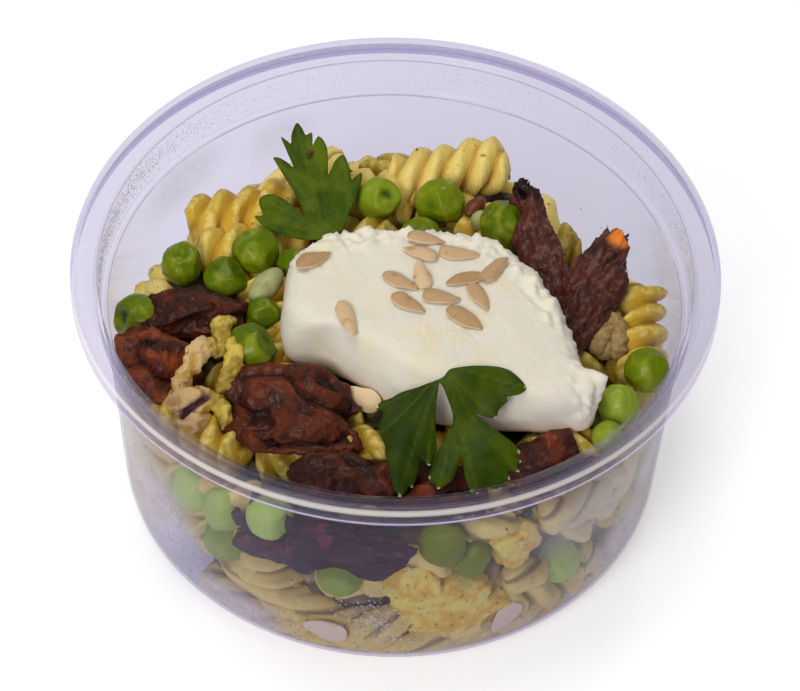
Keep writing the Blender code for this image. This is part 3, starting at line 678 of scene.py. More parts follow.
# The room that each takes: angle, height, half its width, half its height and depth
ROOMS = {
    "kernel": [(degrees, height, 3.8, 2.6, 1.8) for degrees, height, _ in WALL_KERNELS],
    "pea": [(degrees, height, 4.2, 4.2, 4.2) for degrees, height in WALL_PEAS],
    "tomato": [(-100.5, 30.0, 17.5, 7.5, 3.2)],
    "chicken": [(degrees, height, 0.46 * size[0], 0.46 * size[2], 2.4)
                for degrees, height, size in WALL_CHICKEN],
}
print(sum(len(rooms) for rooms in ROOMS.values()), "things need room at the wall")

# %% [markdown]
# ## Pressing
#
# Soft food lies flat where it touches the tub. A Shrinkwrap modifier would flatten it hard,
# with one crease round each patch. Here whatever would pass the wall is eased back to it,
# and draws back further behind a pea or kernel that lies in front of it.

# %% Pressing the food in
# Pressed food keeps a little of its form within so many millimetres of the wall
SOFT = 0.6


def wall_room(points, food):
    """How far a food draws back from the wall for whatever lies in front of it."""
    angle = np.degrees(np.arctan2(points[..., 1], points[..., 0]))
    room = np.zeros(points.shape[:-1])
    for other in ROOMS:
        if GAPS[other] < GAPS[food]:
            for degrees, height, across, upright, depth in ROOMS[other]:
                away = np.radians((angle - degrees + 180.0) % 360.0 - 180.0) * WALL_TOUCH
                off = np.hypot(away / across, (points[..., 2] - height) / upright)
                room = np.maximum(room, depth * (1.0 - ease(1.0, 1.35, off)))
    return room


def press_in(points, food):
    """Flatten what would pass the tub's wall or floor, as soft food is pressed there."""
    points = np.array(points, float)
    points[..., 2] = np.maximum(points[..., 2], WALL + 0.4)
    limit = inner_reach(points[..., 2]) - GAPS[food] - wall_room(points, food)
    reach = np.maximum(np.hypot(points[..., 0], points[..., 1]), 1e-6)
    over = np.maximum(reach - limit + SOFT, 0.0)
    pressed = np.where(over > 0.0, limit - SOFT * np.exp(-over / SOFT), reach)
    points[..., :2] *= (pressed / reach)[..., None]
    return points


def polar(degrees, reach, height):
    """A point by its angle round the tub, its distance from the middle and its height."""
    a = math.radians(degrees)
    return np.array((reach * math.cos(a), reach * math.sin(a), height))


pressed_point = press_in([(60.0, 0.0, 20.0)], "pea")[0]
print("a pea's point at 60 mm is pressed back to", round(float(pressed_point[0]), 1), "mm")

# %% [markdown]
# ## Spiral pasta
#
# Fusilli are three plump ridges wound about one line. Blender's Screw modifier could wind
# them, but then each would be perfectly regular. A ring of points that turns as it moves
# along a path lets every piece bend, swell and end in its own way. How deep a point lies
# between two ridges is kept, as the pesto gathers there.

# %% Sizes and places of the pasta
PASTA_RADIUS = 5.8
PASTA_ROOT = 3.3
PASTA_LOBES = 3
TIGHT_PITCH = 14.5
LOOSE_PITCH = 20.0
RINGS_PER_TURN = 30
LOBE_SIDES = 9

# Each piece on top: both its ends, and its tone from olive (-1) over yellow to pale (1), where pale is partly
# painted light
TOP_PASTA = [
    ((-39.5, 25.4, 36.6), (-9.0, 33.0, 37.6), 0.0),
    ((-1.5, 36.0, 38.2), (20.5, 40.6, 41.2), 0.56),
    ((-14.0, 35.5, 36.6), (3.0, 32.0, 36.6), 0.4),
    ((44.8, 11.0, 37.6), (44.6, -10.0, 35.6), -0.3),
    ((-41.5, -20.0, 35.2), (-27.0, -33.5, 36.2), -0.4),
    ((-24.0, -29.6, 36.2), (1.0, -29.6, 35.8), -0.75),
    ((14.0, -39.0, 34.6), (37.0, -25.0, 35.4), -0.7),
    ((-24.6, 10.0, 36.8), (-21.4, -14.0, 35.2), -0.4),
    ((12.6, 30.0, 37.0), (22.0, 10.0, 36.4), -0.2),
    ((-37.5, 17.4, 35.6), (-17.0, 22.5, 36.8), -0.1),
]
FILL_SPOTS = 20
FILL_LENGTH = 13.0
FILL_TURN = math.pi * (3 - math.sqrt(5))
# Rows of pasta pressed against the wall: height, how many, first angle and climb
WALL_ROWS = ((9.6, 6, -118.0, -4.0), (26.0, 6, -144.0, 5.0))
WALL_SPAN = 44.0
WALL_REACH = 44.9
# One piece in front stands on end: its middle and span round the tub, and its ends' heights
STANDING = (-116.0, 17.0, 25.0, 3.6)
# Slim strands between the rows: angle, heights of both ends and how far round they run
WALL_STRANDS = [
    (-152.0, 36.0, 22.0, 30.0), (-140.0, 15.0, 22.0, 34.0), (-124.0, 20.0, 10.0, 30.0),
    (-108.0, 16.5, 5.0, 30.0), (-92.0, 6.0, 13.0, 26.0), (-70.0, 12.0, 4.5, 30.0),
    (-50.0, 17.0, 9.0, 26.0), (-42.0, 31.0, 24.0, 26.0), (-24.0, 20.0, 34.0, 28.0),
    (-14.0, 14.0, 8.0, 30.0), (10.0, 17.0, 21.0, 34.0), (42.0, 34.0, 22.0, 30.0),
    (66.0, 17.0, 15.0, 34.0), (98.0, 20.0, 12.0, 30.0), (118.0, 35.0, 28.0, 30.0),
    (146.0, 19.0, 16.0, 34.0), (186.0, 34.0, 26.0, 32.0), (-120.0, 5.6, 3.6, 30.0),
    (-100.0, 3.4, 4.8, 28.0), (-82.0, 4.4, 3.2, 26.0), (-62.0, 3.4, 5.0, 28.0),
]
# More slim strands that pack the gaps at the sides and back: height, how many and first angle
STRAND_ROWS = ((3.6, 8, -22.0), (17.6, 8, -16.0), (28.4, 7, -10.0))
print(len(TOP_PASTA), "spirals lie on top and", len(WALL_STRANDS), "strands at the wall")

# %% Paths
def straight(start, end):
    start, end = np.array(start), np.array(end)
    return lambda t: start + (end - start) * t


def along_wall(degrees, span, low, high, reach):
    """A path that follows the tub's wall and climbs from low to high."""
    def path(t):
        x, y, height = polar(degrees + span * (t - 0.5), reach, low + (high - low) * t)
        return np.array((x, y, height - slump(x, y) * ease(14.0, 26.0, height)))

    return path


def unit(ways):
    return ways / np.maximum(np.linalg.norm(ways, axis=-1, keepdims=True), 1e-9)


print("a path round the wall starts at", along_wall(0.0, 90.0, 10.0, 20.0, 45.0)(0.0).round(1))

# %% One spiral
def fusillo(path, pitch, turn, handed, radius=PASTA_RADIUS, root=PASTA_ROOT):
    """A spiral of pasta round a path, with how deep each point lies between ridges."""
    length = sum(np.linalg.norm(path((k + 1) / 16) - path(k / 16)) for k in range(16))
    rows = max(8, round(length / pitch * RINGS_PER_TURN))
    shares = np.linspace(0.0, 1.0, rows + 1)
    middle = np.array([path(t) for t in shares])
    ahead = unit(np.gradient(middle, axis=0))
    side = unit(np.cross(ahead, (0.0, 0.0, 1.0)))
    rise = np.cross(side, ahead)
    around = np.linspace(0.0, 2 * math.pi, PASTA_LOBES * LOBE_SIDES, endpoint=False)
    ridge = np.abs(np.cos(0.5 * PASTA_LOBES * around)) ** 0.8
    from_end = np.minimum(shares, 1.0 - shares) * length
    blunt = 0.62 + 0.38 * ease(0.0, 1.8, from_end)
    swell = 1.0 + 0.07 * np.sin(7.1 * shares + turn)[:, None] * np.cos(around + 3 * turn)
    reach = (root + (radius - root) * ridge[None, :]) * blunt[:, None] * swell
    angle = turn + handed * 2 * math.pi * (shares * length / pitch)[:, None] + around
    spokes = (side[:, None] * np.cos(angle)[..., None] + rise[:, None] * np.sin(angle)[..., None])
    rings = middle[:, None] + reach[..., None] * spokes
    flat = rings.reshape(-1, 3)
    soften = [0.8 * hills(flat, 6.5, 11.0 * k + turn) + 0.2 * hills(flat, 2.0, 7.0 * k) for k in range(3)]
    rings = press_in(rings + np.stack(soften, axis=-1).reshape(rings.shape), "pasta")
    points, faces = skin(rings)
    groove = np.append(np.tile(1.0 - ridge, len(rings)), (0.6, 0.6))
    return points, faces, groove


print("one short spiral has", len(fusillo(straight((0, 0, 20), (9, 0, 20)), 9.0, 0.0, 1)[1]), "faces")

# %% [markdown]
# ## The heap of pasta
#
# The pieces that show on top, the rows at the wall and the fill between them follow the
# model, with the same random draws. The slim strands are only here: they close the gaps
# behind the wall, where the model has its plain core.

# %% Winding all the pasta
def wind_pasta():
    """Every piece of pasta in the model, with the same path, winding and hand."""
    pieces = Batch()

    def add(path, pitch, tone_and_light):
        turn, handed = DRAW.uniform(0, 2), DRAW.choice((1, -1))
        points, faces, groove = fusillo(path, pitch, turn, handed)
        pieces.add(points, faces, groove=groove, tint=0.5 * turn, tone_and_light=tone_and_light)

    for start, end, tone_and_light in TOP_PASTA:
        add(straight(start, end), TIGHT_PITCH, tone_and_light)
    # The rows and strands at the wall are painted pale, as painted light
    for height, count, first, climb in WALL_ROWS:
        for k in range(count):
            slope = climb + DRAW.uniform(-1.6, 1.6)
            middle = first + 360.0 * k / count + DRAW.uniform(-2, 2)
            path = along_wall(middle, WALL_SPAN, height - slope, height + slope, WALL_REACH)
            stands = (height, k) == (WALL_ROWS[0][0], 0)
            add(along_wall(*STANDING, WALL_REACH) if stands else path, 12.5 if stands else LOOSE_PITCH, 0.8)
    for spot in range(FILL_SPOTS):
        reach = (CORE_RADIUS - 4.0) * math.sqrt((spot + 0.5) / FILL_SPOTS)
        middle = polar(math.degrees(spot * FILL_TURN), reach, 0.0)
        middle[2] = core_top(middle[0], middle[1]) - 2.0 - 2.2 * float(ease(34.0, 40.0, reach))
        half = polar(DRAW.uniform(0, 180), 0.5 * FILL_LENGTH, DRAW.uniform(-1.5, 1.5))
        add(straight(middle - half, middle + half), TIGHT_PITCH, -0.6)
    for degrees, low, high, span in WALL_STRANDS:
        points, faces, groove = fusillo(along_wall(degrees, span, low, high, 47.2), 26.0,
                                        math.radians(degrees), 1, 3.6, 1.9)
        pieces.add(points, faces, groove=groove, tint=RANDOM.random(),
                   tone_and_light=RANDOM.uniform(0.5, 1.0))
    for height, count, first in STRAND_ROWS:
        for k in range(count):
            degrees = first + 226.0 * k / count + RANDOM.uniform(-5.0, 5.0)
            climb = RANDOM.uniform(-3.0, 3.0)
            path = along_wall(degrees, RANDOM.uniform(26.0, 38.0), height - climb, height + climb, 46.6)
            points, faces, groove = fusillo(path, 22.0, degrees, RANDOM.choice((1, -1)), 4.2, 2.4)
            pieces.add(points, faces, groove=groove, tint=RANDOM.random(), tone_and_light=RANDOM.uniform(0.4, 0.9))
    return pieces


# The same draws as the model's, so that each piece is wound as its solid is
pea_dents = [[(unit(np.array([DRAW.gauss(0, 1) for _ in range(3)])), DRAW.uniform(0.1, 0.26))
              for _ in range(3)] for _ in range(15)]
pasta_pieces = wind_pasta()
print(len(pasta_pieces.points), "pieces of pasta")

# %% [markdown]
# ## Pasta and pesto
#
# Plain pasta is pale yellow. The pesto stains it darker and greener in its grooves and
# wears off its ridges. On the pasta behind the wall the grooves are darker still, which is
# painted shade, and the pale colour is painted light. Painting by hand would suit one
# piece; the groove number lets one finish do it for all, with flecks of herb scattered by
# two noises at once.

# %% Pasta and pesto
pasta_finish = Finish("pesto_pasta_look", Specular_IOR_Level=0.2, Coat_Weight=0.1, Coat_Roughness=0.2)
groove, tint, tone_and_light = (pasta_finish.number(name) for name in ("groove", "tint", "tone_and_light"))
cloud = pasta_finish.grain(6.0, 4.0)
streak = pasta_finish.grain(1.6, 4.0)
# Grooves hold pesto stain; on the pale pasta behind the wall they take painted shade
groove_stain_and_shadow = pasta_finish.mix(tone_and_light.over(0.56, 0.8), paint(166, 120, 28), paint(106, 82, 50))
worn = (0.4 - groove).over(0.0, 0.35) * streak.over(0.4, 0.6)
fleck = pasta_finish.grain(0.8, 2.0).over(0.65, 0.7) * pasta_finish.grain(4.0).over(0.45, 0.6)
pasta_finish.colour(
    paint(220, 187, 74),
    (tint.over(0.1, 0.9), paint(202, 162, 44)),
    ((0.0 - tone_and_light).over(0.0, 1.0), paint(156, 132, 34)),
    # Painted light: the pale coat on the pasta behind the wall
    (tone_and_light.over(0.0, 1.0), paint(255, 233, 138)),
    (groove.over(0.35, 0.98), groove_stain_and_shadow),
    (0.6 * worn, paint(238, 217, 132)),
    (cloud.over(0.56, 0.72) * 0.3, paint(200, 148, 42)),
    (0.8 * fleck, paint(104, 104, 26)),
)
pasta_finish.roughness(0.36 + 0.2 * cloud)
pasta_finish.bump(streak + 0.5 * pasta_finish.grain(0.5, 3.0), 0.2)
pasta_pieces.make("wound_pasta", pasta_finish, "pesto_pasta", "salad_heap")

# %% [markdown]
# ## The dark core
#
# Between the pieces the eye sees only shade and pesto. A lumpy drum stands a little back
# from the pasta and closes the heap inside. Its dark colour is painted shade, darker in its
# hollows and lighter on its lumps; lower on its sides it takes a paler pasta colour with
# the same painted shade.

# %% The core
CORE_SIDES = 150
CORE_REACH = 46.6


def core_mesh():
    """A lumpy drum whose top follows the heap."""
    turns = np.linspace(0.0, 2 * math.pi, CORE_SIDES, endpoint=False)
    rows = [(20.0, 1.3), (38.0, 1.3), (44.0, 3.0)]
    rows += [(CORE_REACH, height) for height in np.arange(6.0, 33.0, 1.1)]
    rows += [(CORE_RADIUS * share, None) for share in np.linspace(0.99, 0.05, 46)]
    rings = []
    for reach, height in rows:
        x, y = reach * np.cos(turns), reach * np.sin(turns)
        z = core_top(x, y) if height is None else height * (1.0 - slump(x, y) / 35.0)
        rings.append(np.column_stack((x, y, z)))
    core = Batch()
    core.add(*skin(rings))
    mesh = core.mesh("dark_core")
    points, facing = read_points(mesh)
    lumps = relief(points, 5.5, 3.0) * 2.6 + relief(points, 1.8, 9.0) * 0.8 - 2.0
    angle = np.degrees(np.arctan2(points[:, 1], points[:, 0]))
    beside = 1.0 - ease(-172.0, -156.0, angle) * (1.0 - ease(-24.0, -8.0, angle))
    lumps += 1.5 * beside * (1.0 - ease(28.0, 34.0, points[:, 2]))
    write_points(mesh, press_in(points + facing * lumps[:, None], "core"))
    upright = 1.0 - ease(0.3, 0.8, facing[:, 2])
    give_numbers(mesh, {"lump": lumps, "pale": (1.0 - ease(26.0, 37.0, points[:, 2])) * upright})
    return mesh


core_finish = Finish("shadow_and_pesto_core_look", Specular_IOR_Level=0.25, Coat_Weight=0.1, Coat_Roughness=0.3)
lump = core_finish.number("lump")
# Painted shade: darker in the hollows between the lumps, lighter on the lumps
paler_with_shadow = core_finish.mix(lump.over(-1.2, 0.6), paint(108, 90, 66), paint(200, 176, 122))
core_finish.colour(
    paint(46, 38, 12),
    (lump.over(-1.2, 0.6), paint(138, 114, 36)),
    (core_finish.grain(2.2).over(0.5, 0.72), paint(80, 82, 22)),
    (core_finish.number("pale"), paler_with_shadow),
)
core_finish.roughness(0.4 + 0.2 * core_finish.grain(3.0))
place("dark_core", core_mesh(), core_finish, "pesto_pasta", "salad_heap")

# %% [markdown]
# ## Peas
#
# A cooked pea wrinkles: its skin sinks into a few flats and shallow dimples with soft
# ridges between. Sculpting would do for one. Here a ball is cut by a few planes, joined
# by a soft minimum, and then by fine folds, so each of the thirty is its own.

# %% What is known of each pea
PEA_SIDES = 56
PEA_ROWS = 40
LOOSE_PEA_COUNT = 15
TOWARDS_LIGHT = np.array((0.0, -0.5, 0.85))
# Deep hollows in some peas: the way that each faces and its depth
PEA_HOLLOWS = {1: ((-0.8, -0.38, 0.36), 0.32), 6: ((0.5, -0.5, 0.65), 0.16), 14: ((0.75, -0.15, 0.65), 0.12),
               9: ((0.35, -0.35, 0.85), 0.1), 2: ((0.1, -0.1, 1.0), 0.14)}
# From dark (0) over yellow green (1) to pale (2), where pale is painted haze and light of the wall
PEA_TINTS = {1: 0.35, 2: 0.35, 3: 0.25, 4: 0.3, 6: 1.14, 7: 0.6, 9: 0.2, 11: 0.5, 12: 1.26, 13: 1.2, 14: 0.1}
WALL_PEA_HAZE = (2.0, 1.7, 1.9, 1.4, 0.9, 1.9, 2.0, 1.4, 1.5, 1.4, 0.8, 1.6, 1.5, 1.4, 1.7)
# How near to the middle a pea's flats may come: nearer in the shrunken ones
PLUMP = 0.84
SHRUNKEN = {2: 0.76, 3: 0.75, 9: 0.78, 14: 0.78}
# The third pea is drawn to a point by three flats: the way that each faces and how far out it is
POINTED = {3: [((0.78, 0.1, 0.62), 0.66), ((-0.66, 0.0, 0.75), 0.72), ((0.1, -0.85, 0.5), 0.8)]}
print(len(SHRUNKEN), "of", LOOSE_PEA_COUNT, "peas have shrunk")

# %% The shape of a pea
def pea_shape(centre, radius, dents, seed, hollow=None, shrunk=PLUMP, pointed=()):
    """A ball whose skin has sunk into flats and dimples, and how far each point has sunk."""
    dice = random.Random(f"pea {seed}")
    flats = [(way, 1.0 - 0.9 * depth) for way, depth in dents]
    flats += [(unit(np.array(way)), out) for way, out in pointed]
    for _ in range(6):
        loose = np.array([dice.gauss(0.0, 0.75) for _ in range(3)])
        flats.append((unit(TOWARDS_LIGHT + loose), dice.uniform(shrunk, 0.95)))
    slopes = np.linspace(0.03, math.pi - 0.03, PEA_ROWS)
    turns = np.linspace(0.0, 2 * math.pi, PEA_SIDES, endpoint=False)
    ways = np.stack([np.column_stack((np.sin(s) * np.cos(turns), np.sin(s) * np.sin(turns),
                                      np.full(PEA_SIDES, -math.cos(s)))) for s in slopes])
    reaches = [np.ones((PEA_ROWS, PEA_SIDES))]
    reaches += [reach / np.maximum(ways @ way, 0.25) for way, reach in flats]
    reach = -np.log(sum(np.exp(-40.0 * each) for each in reaches)) / 40.0
    flat_ways = (ways * 1.6).reshape(-1, 3)
    wrinkle = ridged(flat_ways, 1.0, seed).reshape(reach.shape)
    dimple = sum(0.1 * depth * ease(0.8, 1.0, ways @ way) for way, depth in dents)
    sunk = 1.0 - reach + dimple - 0.035 * wrinkle
    if hollow:
        facing = ways @ unit(np.array(hollow[0]))
        sunk = sunk + hollow[1] * ease(0.78, 0.95, facing) - 0.04 * ease(0.55, 0.76, facing)
    rings = np.array(centre) + ways * radius * (1.0 - sunk)[..., None]
    points, faces = skin(rings)
    return points, faces, np.append(sunk.ravel(), (sunk[0].mean(), sunk[-1].mean()))


print("a pea's skin has", len(pea_shape((0, 0, 0), 4.0, [], 1.0)[1]), "faces")

# %% [markdown]
# ## Pea skin
#
# The skin is yellow green where it is stretched and darker where it has sunk, which is
# painted shade in its hollows. A pale tint is painted haze and light of the wall on the
# peas behind it.

# %% Pea skin, and the loose peas
pea_finish = Finish("pea_look", Specular_IOR_Level=0.06, Coat_Weight=0.2, Coat_Roughness=0.16)
sunk = pea_finish.number("sunk")
pea_tone_and_haze = pea_finish.number("tint")
pea_finish.colour(
    paint(82, 102, 2),
    (pea_tone_and_haze.over(0.0, 1.0), paint(122, 140, 12)),
    ((0.0 - sunk).over(-0.02, 0.05) * 0.6, paint(138, 146, 30)),
    # Painted shade in the sunk hollows
    (sunk.over(0.16, 0.36), paint(44, 66, 0)),
    (pea_finish.grain(3.2).over(0.5, 0.75) * 0.7, paint(144, 152, 34)),
    # Painted light: the haze of the wall laid on the peas behind it
    (pea_tone_and_haze.over(1.0, 2.0), paint(190, 220, 106)),
)
pea_finish.roughness(0.32 + 0.12 * pea_finish.grain(1.5) + 0.4 * sunk.over(0.16, 0.36))
pea_finish.bump(pea_finish.grain(0.7), 0.05)

for number, dents in enumerate(pea_dents, 1):
    solid_name = f"pea_{number:02d}"
    low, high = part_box(solid_name)
    middle = np.array((low + high) / 2) / MM
    size = max(high - low) / 2 / MM
    pea = Batch()
    points, faces, sinking = pea_shape(middle, size * 1.05, dents, (number - 1) * 3.7,
                                       PEA_HOLLOWS.get(number), SHRUNKEN.get(number, PLUMP), POINTED.get(number, ()))
    pea.add(points, faces, sunk=sinking, tint=PEA_TINTS.get(number, RANDOM.random()))
    pea.make(f"wrinkled_{solid_name}", pea_finish, "pea_green", solid_name)

# %% Peas at the wall
buried_peas = Batch()
# The peas at the wall take the painted haze and light
for (degrees, height), pea_haze in zip(WALL_PEAS, WALL_PEA_HAZE):
    size = RANDOM.uniform(4.1, 4.5)
    dents = [(unit(np.array([RANDOM.gauss(0, 1) for _ in range(3)])), 0.12) for _ in range(3)]
    middle = polar(degrees, float(inner_reach(height)) - size + 0.25, height)
    points, faces, sinking = pea_shape(middle, size, dents, degrees)
    buried_peas.add(press_in(points, "pea"), faces, sunk=sinking, tint=pea_haze)
buried_peas.make("peas_at_the_wall", pea_finish, "pea_green", "salad_heap")

# %% [markdown]
# ## Fresh cheese
#
# The cheese is one soft block, cut smooth in front and torn at the back, where it is
# crumbly and scalloped. It is turned from its outline and then roughened.

# %% The cheese's outline
CHEESE_BOTTOM = 39.5
CHEESE_CENTRE = np.array((8.0, -8.5))
CHEESE_OUTLINE = [
    (-19.8, -11.0), (-13.0, -13.6), (-5.5, -18.5), (1.5, -23.8), (10.0, -26.8),
    (20.0, -27.4), (30.0, -27.6), (35.6, -26.6), (37.0, -22.4), (34.0, -18.6), (32.6, -12.0),
    (29.8, -4.0), (25.0, 4.0), (17.5, 10.2), (8.0, 11.9), (-2.0, 12.3), (-11.5, 10.8),
    (-18.6, 6.4), (-20.4, -2.0),
]
# From the bottom up: how much the outline is drawn in, and the height above the bottom
CHEESE_LEVELS = [(0.1, 0.0), (0.93, 0.0), (0.985, 1.6), (1.0, 4.6), (0.995, 7.6), (0.98, 9.6),
                 (0.95, 11.0), (0.9, 11.9), (0.82, 12.3), (0.6, 12.5), (0.3, 12.5), (0.03, 12.5)]
CHEESE_HORN = np.array((36.4, -22.2, 50.4))
CHEESE_SLOPE = 0.07
CHEESE_ROWS = 110
POINTS_PER_CORNER = 14


def smooth_loop(corners, between):
    """A smooth closed curve through the corners, with so many points for each."""
    corners = np.asarray(corners, float)
    t = np.linspace(0.0, 1.0, between, endpoint=False)[:, None]
    before, after = np.roll(corners, 1, axis=0), np.roll(corners, -1, axis=0)
    beyond = np.roll(corners, -2, axis=0)
    stretches = []
    for a, b, c, d in zip(before, corners, after, beyond):
        curve = 2 * b + (c - a) * t + (2 * a - 5 * b + 4 * c - d) * t ** 2
        stretches.append(0.5 * (curve + (3 * b - a - 3 * c + d) * t ** 3))
    return np.concatenate(stretches)


print(len(CHEESE_OUTLINE), "corners give", len(smooth_loop(CHEESE_OUTLINE, POINTS_PER_CORNER)), "points")

# %% [markdown]
# ## Torn and crumbled
#
# The back of the cheese was torn and stands up in scallops, the front is smooth and rolls
# over, and the right front corner ends in a horn. Each is a region with soft borders that
# says how much the lumps, crumbs and grains may push the skin out.

# %% The cheese's mesh
def cheese_mesh():
    """The cheese: its outline drawn in at the foot, rounded over and crumbled on top."""
    outline = smooth_loop(CHEESE_OUTLINE, POINTS_PER_CORNER) - CHEESE_CENTRE
    levels = np.array(CHEESE_LEVELS)
    lengths = np.hypot(*(np.diff(levels, axis=0) * (25.0, 1.0)).T)
    travelled = np.append(0.0, np.cumsum(lengths))
    at = np.linspace(0.0, travelled[-1], CHEESE_ROWS)
    draws, rises = np.interp(at, travelled, levels[:, 0]), np.interp(at, travelled, levels[:, 1])
    roll = ease(3.0, -8.0, outline[:, 1]) * (1.0 - ease(10.0, 22.0, outline[:, 0]))
    rings = []
    for draw, rise in zip(draws, rises):
        rolled = roll * ease(2.0, 12.5, rise) ** 1.3 * ease(0.5, 0.9, draw)
        flat = CHEESE_CENTRE + outline * (draw * (1.0 - 0.15 * rolled))[:, None]
        tilt = CHEESE_SLOPE * (flat[:, 1] - CHEESE_CENTRE[1]) * ease(6.0, 11.0, rise)
        rings.append(np.column_stack((flat, CHEESE_BOTTOM + rise + tilt)))
    cheese = Batch()
    edge = np.append(np.repeat(ease(0.62, 0.86, draws) * ease(2.0, 7.0, rises), len(outline)), (0.0, 0.0))
    cheese.add(*skin(rings))
    mesh = cheese.mesh("crumbly_cheese")
    points, facing = read_points(mesh)
    at_back = ease(-10.0, 2.0, points[:, 1] + 0.3 * (points[:, 0] - CHEESE_CENTRE[0]))
    at_back = at_back * (1.0 - 0.8 * ease(-14.0, -18.0, points[:, 0]) * ease(2.0, -4.0, points[:, 1]))
    at_back = np.maximum(at_back, ease(30.0, 34.0, points[:, 0]) * 0.7)
    torn = at_back * edge
    lumps = 2.2 * np.abs(hills(points * (1, 1, 0.8), 3.4, 1.0)) - 0.45
    crumbs = 2.2 * np.abs(hills(points, 1.5, 5.0)) - 0.45
    grains = relief(points, 0.8, 12.0, 3)
    broad = hills(points, 9.0, 2.0) + 0.4 * hills(points, 4.0, 6.0)
    top = ease(0.6, 0.9, facing[:, 2])
    push = (0.35 + 0.5 * torn) * broad + lumps * (0.05 * top + 0.95 * torn)
    push = push + crumbs * (0.03 + 0.05 * top + 0.5 * torn) + grains * (0.02 + 0.05 * top + 0.3 * torn)
    horn = 1.0 - ease(0.0, 4.4, np.linalg.norm((points - CHEESE_HORN) * (1, 1, 0.7), axis=1))
    lift = horn[:, None] ** 1.3 * np.array((2.3, 0.7, 1.4))
    write_points(mesh, points + facing * push[:, None] + lift)
    low = 1.0 - ease(0.5, 6.0, points[:, 2] - CHEESE_BOTTOM)
    give_numbers(mesh, {"torn": torn, "low": low})
    return mesh


# %% [markdown]
# ## Cheese finish
#
# Light goes a little way into fresh cheese, so its shaded sides stay pale. Subsurface
# scattering does that. Noise adds wetter, yellower places, and the foot is paler still,
# where light comes back from the food below.

# %% The cheese's finish
cheese_finish = Finish("cheese_look", Specular_IOR_Level=0.25, Subsurface_Weight=0.35,
                       Subsurface_Radius=(1.0, 0.8, 0.6), Subsurface_Scale=2.5 * MM)
cheese_finish.colour(
    paint(225, 218, 201),
    (cheese_finish.grain(8.0, 2.0).over(0.5, 0.75), paint(227, 215, 182)),
    (cheese_finish.number("torn") * 0.4, paint(242, 236, 214)),
    (cheese_finish.number("low"), paint(250, 228, 206)),
)
cheese_finish.roughness(0.42 + 0.2 * cheese_finish.grain(4.0))
cheese_finish.bump(cheese_finish.grain(0.7, 4.0), 0.06)
cheese_block = place("crumbly_cheese", cheese_mesh(), cheese_finish, "fresh_cheese", "cheese")

# %% [markdown]
# ## Sunflower kernels
#
# A hulled kernel is a flat drop. They lie loosely on the cheese and some on each other, so
# a ray is cast down at each place and the kernel is laid on what it meets. A physics run
# could drop them, but then none would lie where the real ones do.

# %% The shape of a kernel
# On the cheese: place from above and the way that each points
KERNELS_ON_CHEESE = [
    (-15.0, 2.0, 25.0), (-8.4, -11.6, -70.0), (5.4, 7.6, -12.0), (4.4, 4.2, 165.0),
    (11.6, 4.6, -8.0), (18.0, 1.2, 52.0), (1.0, -2.6, -28.0), (4.8, -0.8, 100.0),
    (2.4, -7.6, -30.0), (12.6, -1.2, 200.0), (8.4, -5.8, -6.0), (15.2, -5.2, -62.0),
    (12.8, -10.4, -35.0),
]
# The one that fell off in front: place, the way its flat faces, turn, length, width, thickness
FALLEN_KERNEL = ((-5.6, -21.0, 41.6), (-0.45, -0.75, 0.5), -52.0, 8.0, 4.6, 2.6)
KERNEL_LENGTH = 7.4
KERNEL_TOUCH = 50.2
STEEP = 0.5


def kernel_shape(spot, up, degrees, length=KERNEL_LENGTH, width=3.4, thick=1.7):
    """A hulled kernel: round at one end and drawn to a point at the other."""
    up = Vector(up).normalized()
    turn = math.radians(degrees)
    if abs(up.z) > STEEP:
        flat = Vector((math.cos(turn), math.sin(turn), 0.0))
        along = (flat - up * flat.dot(up)).normalized()
    else:
        along = Matrix.Rotation(turn, 3, up) @ up.orthogonal()
    across = up.cross(along)
    around = np.linspace(0.0, 2 * math.pi, 20, endpoint=False)
    rings, rim = [], []
    for share in np.linspace(0.02, 0.98, 22):
        girth = math.sin(math.pi * share ** 0.72) ** 0.62 * (1.0 - 0.18 * share)
        ring = np.array(spot) + np.array(along) * length * (share - 0.5)
        ring = ring + 0.5 * girth * width * np.cos(around)[:, None] * np.array(across)
        flat_sin = np.sin(around) * (1.0 - 0.35 * np.abs(np.cos(around)) ** 2)
        rings.append(ring + 0.5 * girth * thick * flat_sin[:, None] * np.array(up))
        rim.append(np.abs(np.cos(around)) ** 3 * 0.8 + 0.2 * ease(0.75, 1.0, share))
    points, faces = skin(rings)
    points = points + 0.3 * np.column_stack([hills(points, 2.6, 3.0 * k) for k in range(3)])
    return points, faces, np.append(np.concatenate(rim), (0.8, 1.0))


print("a kernel has", len(kernel_shape((0, 0, 0), (0, 0, 1), 0.0)[1]), "faces")

# %% Laying the kernels
def search_tree(points, faces):
    """A tree that finds where a ray meets these faces."""
    return BVHTree.FromPolygons([tuple(point) for point in points], faces)


def mesh_tree(mesh):
    return search_tree(read_points(mesh)[0], [tuple(face.vertices) for face in mesh.polygons])


kernels = Batch()
rest_trees = [mesh_tree(cheese_block.data)]
for x, y, degrees in KERNELS_ON_CHEESE:
    hits = [tree.ray_cast(Vector((x, y, 80.0)), Vector((0, 0, -1))) for tree in rest_trees]
    spot, facing, _, _ = max((hit for hit in hits if hit[0]), key=lambda hit: hit[0].z)
    facing = (facing + Vector((0, 0, 2.0))).normalized()
    points, faces, rim = kernel_shape(spot + facing * 0.45, facing, degrees,
                                      KERNEL_LENGTH * RANDOM.uniform(0.9, 1.06),
                                      3.5 * RANDOM.uniform(0.9, 1.12), 1.6)
    kernels.add(points, faces, rim=rim, tint=RANDOM.random())
    rest_trees.append(search_tree(points, faces))
points, faces, rim = kernel_shape(*FALLEN_KERNEL)
kernels.add(points, faces, rim=rim, tint=1.4)

print(len(rest_trees) - 1, "kernels lie on the cheese")

